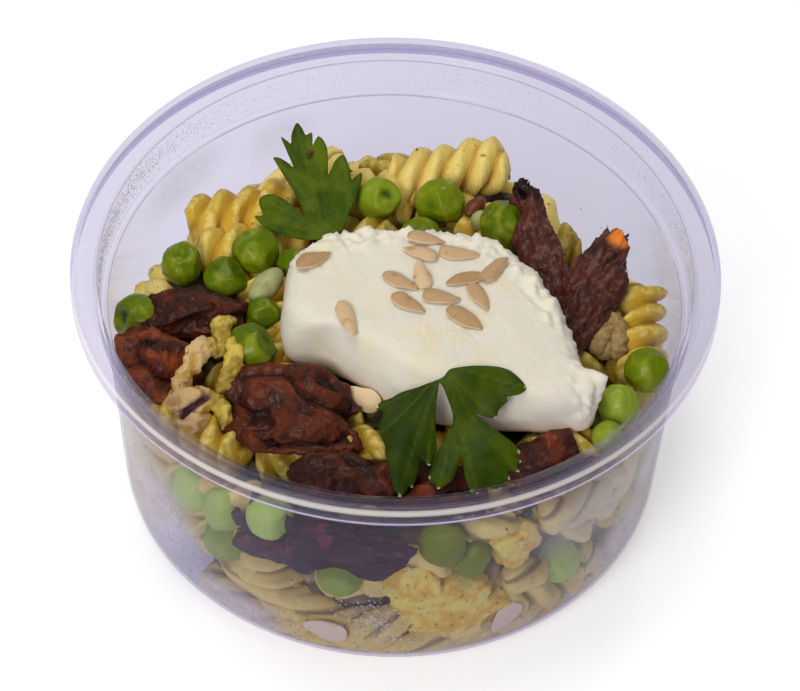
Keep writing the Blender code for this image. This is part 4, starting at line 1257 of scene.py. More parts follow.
# %% The kernels' finish
kernel_finish = Finish("kernel_look", Specular_IOR_Level=0.3)
kernel_tone_and_haze = kernel_finish.number("tint")
kernel_finish.colour(
    paint(172, 136, 92),
    (kernel_tone_and_haze, paint(214, 184, 142)),
    (kernel_finish.number("rim").over(0.45, 0.9), paint(228, 206, 170)),
    (kernel_finish.grain(2.2).over(0.55, 0.75), paint(168, 124, 80)),
    # Painted light: a tint above 1.2 paints the haze and light of the wall; the kernels behind the wall take it in
    # full
    (kernel_tone_and_haze.over(1.2, 2.0), paint(250, 232, 192)),
)
kernel_finish.roughness(0.5 + 0.15 * kernel_finish.grain(1.0))
kernel_finish.bump(kernel_finish.grain(0.8, 3.0), 0.06)
kernels.make("kernels_on_cheese", kernel_finish, "fresh_cheese", "cheese")

wall_kernels = Batch()
for degrees, height, tilt in WALL_KERNELS:
    points, faces, rim = kernel_shape(polar(degrees, KERNEL_TOUCH, height), polar(degrees, 1.0, 0.0),
                                      tilt, 6.2, 4.4, 3.0)
    wall_kernels.add(press_in(points, "kernel"), faces, rim=rim, tint=2.0)
wall_kernels.make("kernels_at_the_wall", kernel_finish, "fresh_cheese", "salad_heap")

# %% [markdown]
# ## Even faces
#
# Tomato and chicken are soft lumps in the model. Folding them needs many small faces of
# one size. Subdivision would keep the long thin faces of the solids, so a Remesh modifier
# makes new ones, and joins parts that overlap.

# %% Even faces and thickness
def even_mesh(mesh, size):
    """The mesh with small even faces of so many millimetres; parts that overlap join."""
    work = bpy.data.objects.new("work", mesh)
    bpy.context.collection.objects.link(work)
    even = work.modifiers.new("even", "REMESH")
    even.mode = "VOXEL"
    even.voxel_size = size * MM
    smooth = work.modifiers.new("smooth", "SMOOTH")
    smooth.factor = 0.5
    smooth.iterations = 4
    result = bpy.data.meshes.new_from_object(work.evaluated_get(bpy.context.evaluated_depsgraph_get()))
    bpy.data.objects.remove(work)
    return result


def thickness(mesh, points, facing):
    """How far the far side lies behind each point of a mesh."""
    tree = mesh_tree(mesh)
    hits = [tree.ray_cast(Vector(point - 0.05 * way), Vector(-way)) for point, way in zip(points, facing)]
    return np.array([9.0 if hit[3] is None else hit[3] for hit in hits])


print("tomato is remade with faces of 0.3 mm")

# %% [markdown]
# ## Dried tomato
#
# Dried tomato is leathery: long creases, sharp raised folds, a few deep slots and pits,
# which are painted dark as shade. Noise that is bent by other noise and drawn out along the
# piece gives folds that run with it. Thin edges are moved less, or they would tear into spikes.

# %% Folded tomato
# The seventh piece has a hollow end, painted dark as shade
CUP = np.array((23.9, 25.2, 48.6))


def tomato_mesh(name, seed, rough, shift):
    """A solid folded like leather: sharp raised folds, and a few slots and pits that are painted dark as shade."""
    mesh = even_mesh(bpy.data.objects[name].data.copy(), 0.3)
    points, facing = read_points(mesh)
    thick = thickness(mesh, points, facing)
    points[:, :2] *= 1.0 + shift / np.hypot(points[:, 0], points[:, 1])[:, None]
    deep = ease(1.5, 5.0, thick)
    long_way = np.linalg.eigh(np.cov(points.T))[1][:, -1]
    drawn = points - (0.2 + 0.35 * rough) * (points @ long_way)[:, None] * long_way
    bent = drawn + 2.2 * np.column_stack([hills(drawn, 5.0, seed + k) for k in range(3)])
    slots = ridged(bent * (1, 1, 1.3), 11.0, seed) ** 2
    crests = ridged(bent, 4.6, seed + 40) ** 1.5
    lines = ridged(bent * (1, 1, 1.4), 1.9, seed + 60)
    from_peak = np.linalg.norm(points - points[points[:, 2].argmax()], axis=1)
    pits = ease(0.3, 0.5, hills(bent, 6.0, seed + 20)) * (1.0 - rough)
    from_cup = np.linalg.norm(points - CUP, axis=1) + (0.0 if name == "tomato_7" else 99.0)
    cup = (1.0 - ease(1.8, 3.1, from_cup)) * ease(0.0, 0.5, facing @ TOWARDS_LIGHT)
    calm = 1.0 - rough
    pebbles = relief(drawn, 1.2, seed, 3) + 0.05
    inwards = 1.5 * slots * calm + 1.6 * pits + 2.0 * cup
    outwards = 0.05 + 0.1 * calm + 0.55 * crests * (1 - 0.5 * rough) + 0.2 * lines
    outwards = outwards + (0.1 + 0.35 * rough) * pebbles + 0.8 * (1.0 - ease(2.4, 4.4, from_cup))
    push = outwards * ease(0.2, 1.5, thick) - inwards * deep
    write_points(mesh, press_in(points + facing * push[:, None], "tomato"))
    # Painted shade: pits, slots and the hollow end are numbered to be painted dark
    recesses_in_shadow = np.maximum(np.maximum(slots * calm, pits) * deep, cup)
    give_numbers(mesh, {"recess_shadow": recesses_in_shadow, "fold_light": np.maximum(crests, 0.6 * lines),
                        "top": 1.0 - ease(1.5, 3.4, from_peak), "rough": np.full(len(points), rough)})
    return mesh


print("the seventh tomato's hollow end is", CUP[2], "mm up")

# %% [markdown]
# ## Tomato leather
#
# The colour runs from nearly black to brick red and orange. Blotches, crests that are
# painted lighter as light on the raised folds, pits and slots painted dark as shade, and an
# orange tip are coats over each other. The numbers say which piece is warm, gloomy or rough,
# so that one finish serves all nine; two more paint shade on the seventh piece's hollow end
# and on the piece behind the wall.

# %% Tomato leather
TOMATO_NUMBERS = ("recess_shadow", "fold_light", "top", "rough", "orange", "shadowed", "shaded", "warm", "gloomy")
tomato_finish = Finish("dried_tomato_look", Specular_IOR_Level=0.12, Coat_Weight=0.12, Coat_Roughness=0.16)
grain = tomato_finish.grain
recess_shadow, fold_light, top, rough, orange, shadowed, shaded, warm, gloomy = (tomato_finish.number(name)
                                                               for name in TOMATO_NUMBERS)
blotch = grain(5.0)
# Painted shade: the dark purple of the tomato seen through the wall
purple_wall_shadow = tomato_finish.mix(grain(3.4, 4.0).over(0.5, 0.66), paint(48, 2, 42), paint(112, 30, 66))
tomato_finish.colour(
    paint(50, 18, 14),
    (blotch.over(0.42, 0.6), paint(96, 38, 16)),
    (warm * grain(3.4, 3.0).over(0.42, 0.58), paint(140, 66, 22)),
    (grain(2.0, 4.0).over(0.5, 0.66) * 0.5, paint(86, 48, 38)),
    # Painted light: the raised folds are lighter and redder
    (fold_light.over(0.3, 0.95) * blotch.over(0.4, 0.6) * (0.7 - 0.4 * rough), paint(142, 54, 18)),
    (0.55 * rough, paint(82, 42, 34)),
    (rough * grain(1.4, 4.0).over(0.48, 0.66) * 0.6, paint(122, 86, 74)),
    (gloomy, paint(30, 11, 4)),
    (top * orange, paint(232, 128, 40)),
    # Painted shade in the seventh piece's hollow end
    (top * shadowed * 0.8, paint(38, 14, 12)),
    # Painted shade on the tomato behind the wall
    (shaded, purple_wall_shadow),
    # Painted shade in the pits, slots and hollow end
    (recess_shadow.over(0.3, 0.95) * (1.0 - top * orange), paint(28, 10, 8)),
)
tomato_finish.roughness(0.42 + 0.25 * grain(1.6))
tomato_finish.bump(grain(0.9, 5.0), 0.3)
print(len(tomato_finish.tree.nodes), "nodes make the tomato")

# %% The nine tomatoes
ROUGH_ONES = (7, 8)
BEHIND_WALL = 9
WARMTH = {1: 0.1, 2: 0.9, 3: 0.35, 4: 0.1}
GLOOM = {1: 0.52, 3: 0.34, 4: 0.5, 8: 0.25}
for number in range(1, 10):
    name = f"tomato_{number}"
    mesh = tomato_mesh(name, 7.3 * number, 1.0 if number in ROUGH_ONES else 0.15,
                       1.0 if number == BEHIND_WALL else 0.0)
    marks = {"orange": number == 8, "shadowed": number == 7, "shaded": number == BEHIND_WALL,
             "warm": WARMTH.get(number, 0.1), "gloomy": GLOOM.get(number, 0.0)}
    give_numbers(mesh, {mark: np.full(len(mesh.vertices), float(on)) for mark, on in marks.items()})
    place(f"leathery_{name}", mesh, tomato_finish, "dried_tomato", name)

# %% [markdown]
# ## Torn chicken
#
# Chicken tears along its fibres into flat strips and rounder chunks. Each piece is put
# together from bent strips and eggs, joined into one skin, and then pulled into threads
# by drawn-out noise. Remaking the plain solids alone gave lumps without any direction.

# %% Eggs and strips
def egg(centre, size, yaw=0.0, dip=0.0):
    """A plain egg shape, turned about the upright and then dipped."""
    turn = Matrix.Rotation(math.radians(yaw), 3, "Z") @ Matrix.Rotation(math.radians(dip), 3, "Y")
    slopes = np.linspace(0.15, math.pi - 0.15, 14)
    around = np.linspace(0.0, 2 * math.pi, 20, endpoint=False)
    rings = np.stack([np.column_stack((np.full(20, -math.cos(s)), math.sin(s) * np.cos(around),
                                       math.sin(s) * np.sin(around))) for s in slopes])
    return skin(np.array(centre) + (rings * 0.5 * np.array(size)) @ np.array(turn).T)


def strip(start, bend, end, width, thick, yaw):
    """A flat strip along a bent path, whose width lies across the yaw."""
    t = np.linspace(0.0, 1.0, 26)[:, None]
    start, bend, end = (np.array(place_of, float) for place_of in (start, bend, end))
    middle = (1 - t) ** 2 * start + 2 * t * (1 - t) * bend + t ** 2 * end
    ahead = unit(np.gradient(middle, axis=0))
    wide = np.array((math.cos(math.radians(yaw)), math.sin(math.radians(yaw)), 0.0))
    flat = unit(wide - ahead * (ahead @ wide)[:, None])
    lift = np.cross(ahead, flat)
    turns = np.linspace(0.0, 2 * math.pi, 16, endpoint=False)[:, None]
    size = 0.55 + 0.45 * np.sin(math.pi * t) ** 0.5
    rings = [m + s * 0.5 * (width * np.cos(turns) * f + thick * np.sin(turns) * u)
             for m, f, u, s in zip(middle, flat, lift, size)]
    return skin(rings)


print("an egg has", len(egg((0, 0, 0), (2, 2, 2))[1]), "faces")

# %% The parts of the chicken
# Eggs by middle, size, yaw and dip; strips by start, bend, end, width, thickness, yaw
CHICKEN_PARTS = {
    "chicken_1": [
        strip((-32.2, -14.0, 46.8), (-36.4, -15.6, 47.6), (-38.4, -22.4, 42.6), 3.2, 2.2, 30.0),
        egg((-35.8, -24.0, 42.2), (7.8, 4.8, 4.2), 6.0, 0.0),
        egg((-35.4, -26.6, 40.4), (6.4, 4.0, 3.6), -8.0, 0.0),
        egg((-37.6, -22.4, 41.2), (3.8, 5.0, 4.8), 0.0, 0.0),
        strip((-33.0, -21.8, 41.8), (-31.0, -24.0, 42.6), (-28.8, -27.6, 40.0), 2.6, 1.5, 30.0),
    ],
    "chicken_2": [
        strip((36.6, 1.8, 41.0), (39.4, 0.4, 43.6), (42.2, -2.8, 41.2), 3.0, 1.3, 60.0),
        strip((37.4, -6.4, 40.0), (37.6, -3.0, 43.4), (41.6, -0.6, 41.6), 2.8, 1.2, 120.0),
        strip((41.0, -7.4, 39.6), (42.0, -5.0, 42.2), (40.4, -0.8, 41.8), 2.6, 1.3, 20.0),
        egg((38.8, -4.0, 39.4), (6.4, 4.0, 4.0), 110.0, 0.0),
    ],
    "chicken_3": [
        strip((-30.0, -5.6, 44.2), (-32.4, -9.6, 48.2), (-30.6, -14.6, 44.4), 3.2, 1.5, 0.0),
        strip((-29.2, -12.6, 46.6), (-27.4, -18.4, 46.4), (-31.0, -21.0, 41.8), 2.6, 1.5, 10.0),
    ],
}
# A slit across the first piece, painted dark as shade, from end to end, and the way that it is cut
SLIT = np.array(((-37.6, -26.4, 41.2), (-33.0, -23.6, 43.4)))
SLIT_OPEN = np.array((0.0, -0.669, 0.743))
print(sum(len(parts) for parts in CHICKEN_PARTS.values()), "parts make the torn chicken")

# %% Torn along the fibres
def chicken_mesh(name, parts, size, seed, torn=1.0):
    """Overlapping parts made one, pulled into fibres and hollowed where it tore."""
    batch = Batch()
    for points, faces in parts:
        batch.add(points, faces)
    mesh = even_mesh(batch.mesh(name), size)
    points, facing = read_points(mesh)
    thick = thickness(mesh, points, facing)
    fibres = ridged(points * (0.7, 1.0, 1.3), 2.4, seed)
    sharp = ridged(points, 5.0, seed + 5)
    holes = 0.8 * torn * ease(0.24, 0.42, hills(points * (1.0, 0.55, 1.3), 4.2, seed + 3))
    slit_way = SLIT[1] - SLIT[0]
    share = np.clip((points - SLIT[0]) @ slit_way / (slit_way @ slit_way), 0.0, 1.0)
    beside = points - SLIT[0] - share[:, None] * slit_way
    from_slit = np.linalg.norm(beside - (beside @ SLIT_OPEN)[:, None] * SLIT_OPEN, axis=1)
    holes = np.maximum(holes, (1.0 - ease(0.35, 1.0, from_slit)) * ease(0.0, 0.4, facing @ SLIT_OPEN))
    threads = ridged(points * (1.0, 0.5, 1.0), 1.0, seed + 11)
    push = 0.1 + 0.4 * fibres ** 2 + 0.5 * sharp + 0.25 * threads + 0.3 * hills(points, 1.2, seed + 8)
    push = push * ease(0.2, 1.5, thick) - 1.6 * holes * ease(1.5, 4.0, thick)
    write_points(mesh, press_in(points + facing * push[:, None], "chicken"))
    give_numbers(mesh, {"ridge_highlight": np.maximum(sharp, fibres), "gap_shadow": holes * ease(1.5, 4.0, thick)})
    return mesh


print("the slit is", round(float(np.linalg.norm(SLIT[1] - SLIT[0])), 1), "mm long")

# %% [markdown]
# ## Chicken and pesto
#
# The meat is pale and pinkish brown, brighter on its raised fibres, which is a painted
# highlight, and yellow green where oil or sauce has soaked in. The holes between fibres are
# painted dark and a little violet, as shade.

# %% The chicken's finish
chicken_finish = Finish("torn_chicken_look", Specular_IOR_Level=0.25, Coat_Weight=0.1, Coat_Roughness=0.25)
grain = chicken_finish.grain
ridge_highlight, gap_shadow, sauce, dull, oily = (chicken_finish.number(name)
                                  for name in ("ridge_highlight", "gap_shadow", "sauce", "dull", "oily"))
sauced = chicken_finish.mix(grain(3.0).over(0.4, 0.6), paint(244, 200, 68), paint(255, 238, 116))
oiled = chicken_finish.mix(grain(3.0).over(0.4, 0.6), paint(148, 122, 14), paint(206, 180, 66))
chicken_finish.colour(
    paint(184, 142, 66),
    (grain(4.0).over(0.4, 0.65), paint(170, 134, 98)),
    # Painted highlight on the raised fibres
    (ridge_highlight.over(0.3, 0.9), paint(204, 172, 116)),
    (sauce, sauced),
    (oily, oiled),
    (grain(1.1, 2.0).over(0.62, 0.7) * 0.7, paint(134, 104, 30)),
    (0.55 * dull, paint(112, 90, 48)),
    # Painted shade in the holes and the slit
    (gap_shadow.over(0.2, 0.8), paint(82, 50, 62)),
)
chicken_finish.roughness(0.45 + 0.2 * grain(2.0))
chicken_finish.bump(grain(0.7, 4.0), 0.2)
print(len(chicken_finish.tree.nodes), "nodes make the chicken")

# %% The chicken on top and at the wall
for number, (name, parts) in enumerate(CHICKEN_PARTS.items(), 1):
    mesh = chicken_mesh(name, parts, 0.3, 5.1 * number)
    count = len(mesh.vertices)
    right_side = ease(-33.4, -32.0, read_points(mesh)[0][:, 0]) * (number == 1)
    oil = np.maximum(right_side * 0.8, np.full(count, 0.85 * (number == 3)))
    give_numbers(mesh, {"oily": oil, "dull": np.full(count, float(number == 2))})
    place(f"fibrous_{name}", mesh, chicken_finish, "torn_chicken", name)
wall_eggs = []
for degrees, height, size in WALL_CHICKEN:
    for across, up in ((-0.2, 0.16), (0.2, 0.14), (0.0, -0.2)):
        spot = polar(degrees + math.degrees(across * size[0] / WALL_TOUCH), WALL_TOUCH - 0.4 * size[1],
                     height + up * size[2])
        wall_eggs.append(egg(spot, np.array(size) * (0.62, 1.0, 0.66), degrees + 90.0))
mesh = chicken_mesh("wall_chicken", wall_eggs, 0.45, 3.3, 0.0)
give_numbers(mesh, {"sauce": np.ones(len(mesh.vertices))})
place("chicken_at_the_wall", mesh, chicken_finish, "torn_chicken", "salad_heap")

# %% [markdown]
# ## Parsley
#
# A parsley leaf is a thin lobed blade. Rings about its stalk would pinch the deep cuts
# between its lobes, so the outline is filled with small triangles instead, and both faces
# are lifted by the same waves. The blade folds softly along its main veins, and on the
# lower leaf each tooth ends in a tiny pale tip.

# %% Parsley outlines
# Each point: how far to the side of the stalk and how far towards the tip
UPRIGHT_OUTLINE = [
    (-0.5, -1.3), (-3.3, -0.8), (-5.7, -0.1), (-9.0, 1.6), (-10.9, 3.1), (-12.4, 6.1),
    (-10.8, 6.2), (-11.0, 8.6), (-10.4, 10.3), (-8.4, 10.3), (-6.3, 8.7), (-4.8, 6.7),
    (-3.2, 4.7), (-4.1, 9.6), (-4.8, 12.3), (-5.9, 16.3), (-6.2, 17.8), (-5.1, 17.6),
    (-4.0, 16.6), (-2.9, 15.4), (-3.3, 19.1), (-3.7, 22.3), (-2.9, 21.5), (-2.2, 20.6),
    (-1.6, 22.5), (-0.2, 24.4), (0.5, 23.0), (0.9, 21.4), (2.1, 21.4), (1.7, 19.1),
    (2.3, 19.7), (3.2, 20.4), (3.9, 19.0), (4.1, 17.0), (3.4, 13.5), (3.2, 12.3),
    (5.0, 14.6), (6.8, 15.3), (7.2, 12.9), (7.2, 10.1), (7.8, 10.3), (9.3, 10.6),
    (8.1, 7.5), (5.6, 3.9), (3.6, 0.1), (2.2, -0.8),
]
DRAPED_OUTLINE = [
    (-0.4, 2.2), (-3.5, 3.6), (-5.2, 4.2), (-7.6, 5.0), (-9.4, 6.1), (-10.9, 6.8),
    (-11.9, 7.7), (-11.7, 8.4), (-10.8, 8.8), (-11.4, 11.8), (-11.1, 13.0), (-10.2, 15.1),
    (-10.0, 17.2), (-9.3, 19.2), (-8.7, 22.3), (-7.9, 23.8), (-7.3, 24.4), (-6.4, 23.7),
    (-5.7, 22.4), (-5.1, 22.6), (-4.2, 19.8), (-3.9, 17.4), (-2.3, 18.5), (-1.6, 17.3),
    (-1.1, 15.4), (-1.4, 9.9), (-1.1, 4.7), (-0.7, 3.3), (0.7, 6.4), (1.7, 9.8),
    (0.5, 13.0), (-1.4, 17.3), (-2.3, 20.9), (-1.3, 22.0), (-0.6, 23.0), (0.7, 22.3),
    (2.0, 21.1), (3.0, 18.0), (3.5, 16.9), (4.0, 20.5), (5.2, 23.2), (6.4, 23.4),
    (7.0, 22.5), (8.5, 22.3), (10.3, 22.4), (10.9, 21.0), (12.0, 20.5), (11.7, 19.0),
    (13.6, 19.0), (13.2, 17.8), (13.9, 17.2), (13.0, 16.3), (13.7, 15.5), (12.6, 14.1),
    (9.0, 11.5), (5.6, 8.5), (7.5, 9.1), (9.3, 9.4), (9.8, 7.7), (11.5, 5.6),
    (9.2, 4.6), (11.1, 5.1), (13.3, 4.8), (14.5, 3.3), (12.3, 0.7), (10.6, -0.2),
    (8.2, -0.4), (3.5, 0.1), (0.9, 0.6),
]
# Each main vein: the point that it bends towards and its end
UPRIGHT_VEINS = [
    ((-0.9, 10.7), (-0.2, 24.0)), ((-2.3, 9.1), (-6.0, 17.2)), ((-1.5, 15.3), (-3.5, 21.6)),
    ((1.8, 11.9), (3.1, 19.8)), ((3.8, 8.6), (6.5, 14.6)), ((5.4, 6.4), (9.0, 10.3)),
    ((-4.6, 4.5), (-10.0, 9.8)), ((-5.1, 2.4), (-12.0, 6.0)),
]
DRAPED_VEINS = [
    ((-4.6, 11.9), (-7.3, 24.0)), ((-5.7, 5.5), (-11.6, 7.8)), ((-2.5, 11.9), (-2.5, 18.0)),
    ((-5.6, 8.0), (-11.0, 12.8)), ((2.0, 14.7), (-0.6, 22.6)), ((3.5, 14.6), (6.4, 23.0)),
    ((5.7, 12.6), (13.3, 18.8)), ((4.6, 5.7), (9.2, 9.1)), ((7.3, 1.6), (14.2, 3.3)),
]
LEAF_HALF = 0.16
LEAF_GRID = 0.5
TOOTH_TURN = math.radians(52.0)
print("the outlines have", len(UPRIGHT_OUTLINE), "and", len(DRAPED_OUTLINE), "corners")

# %% Veins, edges and teeth
def inside(points, outline):
    """Which of the points lie within a closed outline, all seen flat."""
    within = np.zeros(len(points), bool)
    for (x0, y0), (x1, y1) in zip(outline, np.roll(outline, -1, axis=0)):
        spans = (y0 > points[:, 1]) != (y1 > points[:, 1])
        cross = x0 + (x1 - x0) * (points[:, 1] - y0) / ((y1 - y0) or 1e-9)
        within ^= spans & (points[:, 0] < cross)
    return within


def distance_to(points, curve):
    """How far each point is from the nearest point of a curve, all seen flat."""
    return np.min(np.linalg.norm(points[:, None] - curve[None], axis=2), axis=1)


def vein_curve(bend, end):
    t = np.linspace(0.0, 1.0, 60)[:, None]
    return 2 * t * (1 - t) * np.array(bend) + t ** 2 * np.array(end)


def teeth_of(outline):
    """The corners where an outline turns sharply outwards."""
    corners = np.array(outline)
    way_in = corners - np.roll(corners, 1, axis=0)
    way_out = np.roll(corners, -1, axis=0) - corners
    cross = way_in[:, 0] * way_out[:, 1] - way_in[:, 1] * way_out[:, 0]
    turn = np.arctan2(cross, np.sum(way_in * way_out, axis=1))
    area = np.sum(corners[:, 0] * np.roll(corners[:, 1], -1) - corners[:, 1] * np.roll(corners[:, 0], -1))
    return corners[turn * np.sign(area) > TOOTH_TURN]


print("the lower leaf has", len(teeth_of(DRAPED_OUTLINE)), "sharp teeth")

# %% The blade of a leaf
def leaf_shape(stalk, tip_way, outline, vein_ends, fold, wave, pale_tips):
    """A leaf filled with triangles on both faces, with its veins and tips numbered."""
    along = Vector(tip_way).normalized()
    across = (Vector((1, 0, 0)) - along * along.x).normalized()
    up = across.cross(along)
    up = -up if up.z < 0 else up
    edge = smooth_loop(outline, 5)
    low, high = edge.min(axis=0), edge.max(axis=0)
    grid = np.stack(np.meshgrid(np.arange(low[0], high[0], LEAF_GRID),
                                np.arange(low[1], high[1], LEAF_GRID)), axis=-1).reshape(-1, 2)
    grid = grid[inside(grid, edge)]
    grid = grid[distance_to(grid, edge) > 0.6 * LEAF_GRID]
    flat = [Vector(point) for point in np.concatenate([edge, grid])]
    found = delaunay_2d_cdt(flat, [], [list(range(len(edge)))], 1, 1e-5)
    flat, triangles = np.array(found[0]), [tuple(face) for face in found[2]]
    curves = [vein_curve(*ends) for ends in vein_ends]
    away = np.min([distance_to(flat, curve) for curve in curves], axis=0)
    from_edge = distance_to(flat, edge)
    sideways, forward = flat.T
    reach = np.hypot(sideways, forward)
    height = fold * np.abs(sideways) + wave * np.sin(0.42 * sideways + 0.3 * forward)
    height = height * ease(0.0, 6.0, reach) + 0.16 * np.minimum(away, 1.6)
    height += 0.2 * hills(np.column_stack((flat, np.zeros(len(flat)))), 2.2, 4.0)
    height -= 0.35 * (1.0 - ease(0.0, 1.2, from_edge)) * ease(4.0, 12.0, reach)
    thick = LEAF_HALF * (0.5 + 0.5 * ease(0.0, 0.8, from_edge))
    ground = np.array(stalk) + sideways[:, None] * np.array(across) + forward[:, None] * np.array(along)
    top = ground + (height + thick)[:, None] * np.array(up)
    under = ground + (height - thick)[:, None] * np.array(up)
    count = len(flat)
    faces = triangles + [tuple(count + corner for corner in face[::-1]) for face in triangles]
    sides = {(face[k], face[(k + 1) % 3]) for face in triangles for k in range(3)}
    faces += [(a, a + count, b + count, b) for a, b in sides if (b, a) not in sides]
    veins = np.tile(1.0 - ease(0.05, 0.32, away), 2)
    near_tip = distance_to(flat, teeth_of(outline)) if pale_tips else np.full(count, 9.0)
    return np.concatenate([top, under]), faces, veins, np.tile(1.0 - ease(0.2, 0.42, near_tip), 2)


print("a leaf is", round(2 * LEAF_HALF, 2), "mm thick")

# %% The leaves' finish
leaf_finish = Finish("parsley_look", Specular_IOR_Level=0.06, Coat_Weight=0.02, Coat_Roughness=0.3)
leaf_finish.colour(
    paint(50, 70, 5),
    (leaf_finish.grain(6.0).over(0.35, 0.7), paint(84, 102, 8)),
    # Painted shade: the left lobe of the lower leaf, and the whole lower leaf, are darker
    (leaf_finish.number("lobe_shadow") * 0.55, paint(30, 46, 6)),
    (leaf_finish.number("deep") * 0.5, paint(30, 46, 4)),
    (0.22 * leaf_finish.number("vein"), paint(104, 120, 24)),
    (leaf_finish.number("pale_tip"), paint(214, 212, 170)),
)
leaf_finish.roughness(0.42 + 0.1 * leaf_finish.grain(1.0))
leaf_finish.bump(leaf_finish.grain(0.5, 2.0), 0.04)
print(len(leaf_finish.tree.nodes), "nodes make the leaves")

# %% The two leaves
# Each: foot of the stalk, the way to the tip, outline, veins, fold, wave and whether its teeth are pale
LEAVES = {
    "parsley_1": ((-13.2, 18.5, 42.9), (-6.5, 23.2, 6.2), UPRIGHT_OUTLINE, UPRIGHT_VEINS,
                  0.06, 0.5, False),
    "parsley_2": ((9.3, -22.3, 52.3), (0.0, -21.0, -8.2), DRAPED_OUTLINE, DRAPED_VEINS,
                  -0.03, 0.4, True),
}
for name, values in LEAVES.items():
    blade = Batch()
    points, faces, veins, pale_tips = leaf_shape(*values)
    # The lower leaf's left lobe is numbered for painted shade
    lobe_shadow = ease(1.0, -3.0, points[:, 0] - LEAVES[name][0][0]) if name == "parsley_2" else 0.0
    blade.add(points, faces, vein=veins, pale_tip=pale_tips, lobe_shadow=lobe_shadow,
              deep=1.0 if name == "parsley_2" else 0.0)
    blade.make(f"blade_{name}", leaf_finish, "parsley_green", name)

# %% [markdown]
# ## Small bits
#
# A red-brown seed lies behind the cheese, the tip of one tomato shows its orange flesh,
# and crumbs of pesto are scattered over the top.

# %% Small bits
SEED_SPOT = (14.5, 26.0, 43.4)
CRUMBS = 130
LOBE_SPOT = (-23.9, 5.0, 42.4)
heap_trees = [mesh_tree(bpy.data.objects[name].data) for name in ("wound_pasta", "dark_core")]
bits = Batch()
points, faces = egg(SEED_SPOT, (5.4, 3.2, 2.6), 52.0, -8.0)
bits.add(points, faces, kind=0.0)
points, faces = egg((-17.0, 34.4, 48.0), (1.3, 1.0, 0.9), 20.0)
bits.add(points, faces, kind=0.0)
for _ in range(CRUMBS):
    reach, degrees = 44.0 * math.sqrt(RANDOM.random()), RANDOM.uniform(0.0, 360.0)
    above = Vector(polar(degrees, reach, 80.0))
    hits = [tree.ray_cast(above, Vector((0.0, 0.0, -1.0))) for tree in heap_trees]
    spot = max((hit[0] for hit in hits if hit[0]), key=lambda found: found.z)
    size = RANDOM.uniform(0.3, 0.7)
    points, faces = egg(spot, (size * 1.8, size, 0.5 * size), RANDOM.uniform(0, 180))
    bits.add(points, faces, kind=RANDOM.choice((0.5, 1.0, 1.0)))
points, faces = egg(LOBE_SPOT, (8.6, 4.8, 4.6), 52.0, -12.0)
bits.add(points, faces, kind=1.5)
points, faces = egg((15.6, 22.8, 43.0), (4.0, 3.4, 4.6), 20.0, 0.0)
bits.add(points, faces, kind=1.5)
print(CRUMBS, "crumbs of pesto lie on the heap")

# %% The bits' finish
bits_finish = Finish("bits_look", Specular_IOR_Level=0.3, Roughness=0.4)
kind = bits_finish.number("kind")
bits_finish.colour(
    paint(98, 42, 18),
    (kind.over(0.2, 0.3), paint(112, 112, 28)),
    (kind.over(0.7, 0.8), paint(196, 158, 66)),
    (kind.over(1.2, 1.3), paint(164, 168, 112)),
    (bits_finish.grain(2.0).over(0.4, 0.7) * 0.35, paint(112, 84, 36)),
)
bits.make("small_bits", bits_finish, "pesto_pasta", "salad_heap")

# %% [markdown]
# ## Condensation
#
# Fine beads of water cling to the inside of the wall: thickly on the neck at the left, in
# a few patches lower down, and with some larger drops at the bottom in front.

# %% Beads of water
BEAD_SIDES = 5
BEAD_HEIGHTS = (2.0, 53.6)
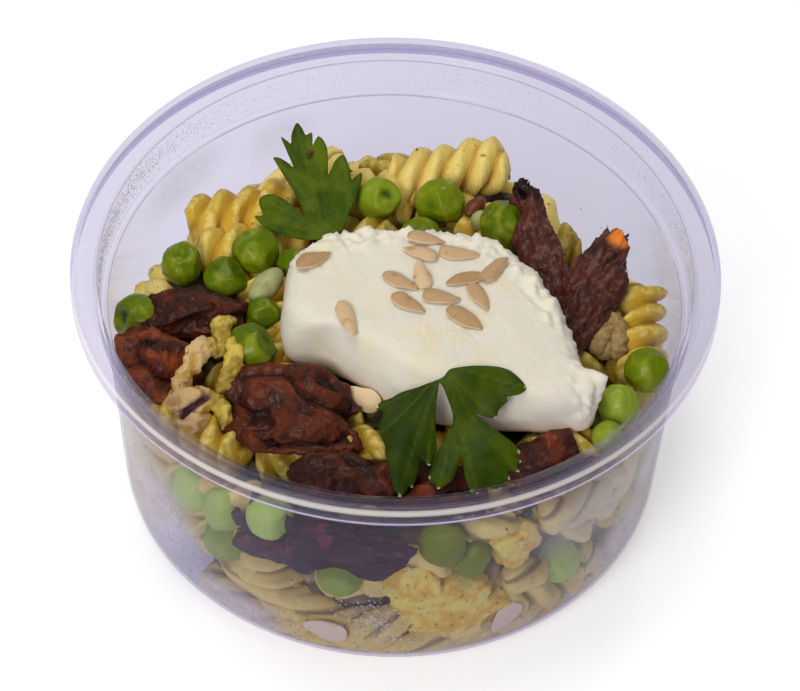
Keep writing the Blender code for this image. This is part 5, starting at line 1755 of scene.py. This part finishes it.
# Each patch: its middle angle and height, how far they spread, how many beads and their radii
BEAD_PATCHES = [
    (168.0, 50.8, 22.0, 1.7, 4200, (0.05, 0.15)), (16.0, 50.6, 18.0, 1.4, 700, (0.05, 0.14)),
    (92.0, 50.6, 20.0, 1.4, 160, (0.06, 0.14)), (-140.0, 13.0, 6.0, 4.4, 420, (0.07, 0.26)),
    (-120.0, 7.4, 8.0, 2.2, 300, (0.07, 0.24)), (-92.5, 15.2, 3.4, 3.2, 560, (0.07, 0.3)),
    (-88.0, 8.0, 4.0, 2.0, 120, (0.08, 0.3)), (-28.0, 8.0, 6.0, 3.4, 420, (0.07, 0.26)),
    (85.0, 20.0, 40.0, 5.0, 260, (0.1, 0.36)),
]


def bead(centre, inwards, radius):
    """A low dome that stands on the wall."""
    inwards = unit(np.array(inwards))
    level = unit(np.cross(inwards, (0.0, 0.0, 1.0)))
    upright = np.cross(level, inwards)
    around = np.linspace(0.0, 2 * math.pi, BEAD_SIDES, endpoint=False)[:, None]
    rings = []
    for lift, spread in ((-0.2, 1.0), (0.4, 0.62)):
        ring = centre + inwards * radius * lift
        rings.append(ring + radius * spread * (np.cos(around) * level + np.sin(around) * upright))
    return skin(rings)


beads = Batch()
for middle, level, turned, raised, count, (small, large) in BEAD_PATCHES:
    for _ in range(count):
        degrees = RANDOM.gauss(middle, turned)
        height = min(max(RANDOM.gauss(level, raised), BEAD_HEIGHTS[0]), BEAD_HEIGHTS[1])
        above = max(height - NECK_FOOT[1], 0.0) / (NECK_TOP[1] - NECK_FOOT[1])
        on_neck = NECK_FOOT[0] + (NECK_TOP[0] - NECK_FOOT[0]) * above
        reach = on_neck if height > LEDGE[1] else inner_reach(height)
        radius = small + (large - small) * RANDOM.random() ** 2.2
        centre = polar(degrees, float(reach), height)
        beads.add(*bead(centre, (-centre[0], -centre[1], 0.0), radius))
# Painted light: the beads glow faintly, and their grey to white colour stands for the glints and shade of clear
# water
bead_finish = Finish("bead_glow_look", Alpha=0.4, Roughness=0.08, Emission_Color=(1.0, 0.97, 0.95, 1.0),
                     Emission_Strength=0.05)
bead_finish.colour(paint(150, 142, 142), (bead_finish.grain(1.0).over(0.35, 0.65), paint(246, 242, 244)))
beads.make("condensation", bead_finish, "clear_plastic", "tub")
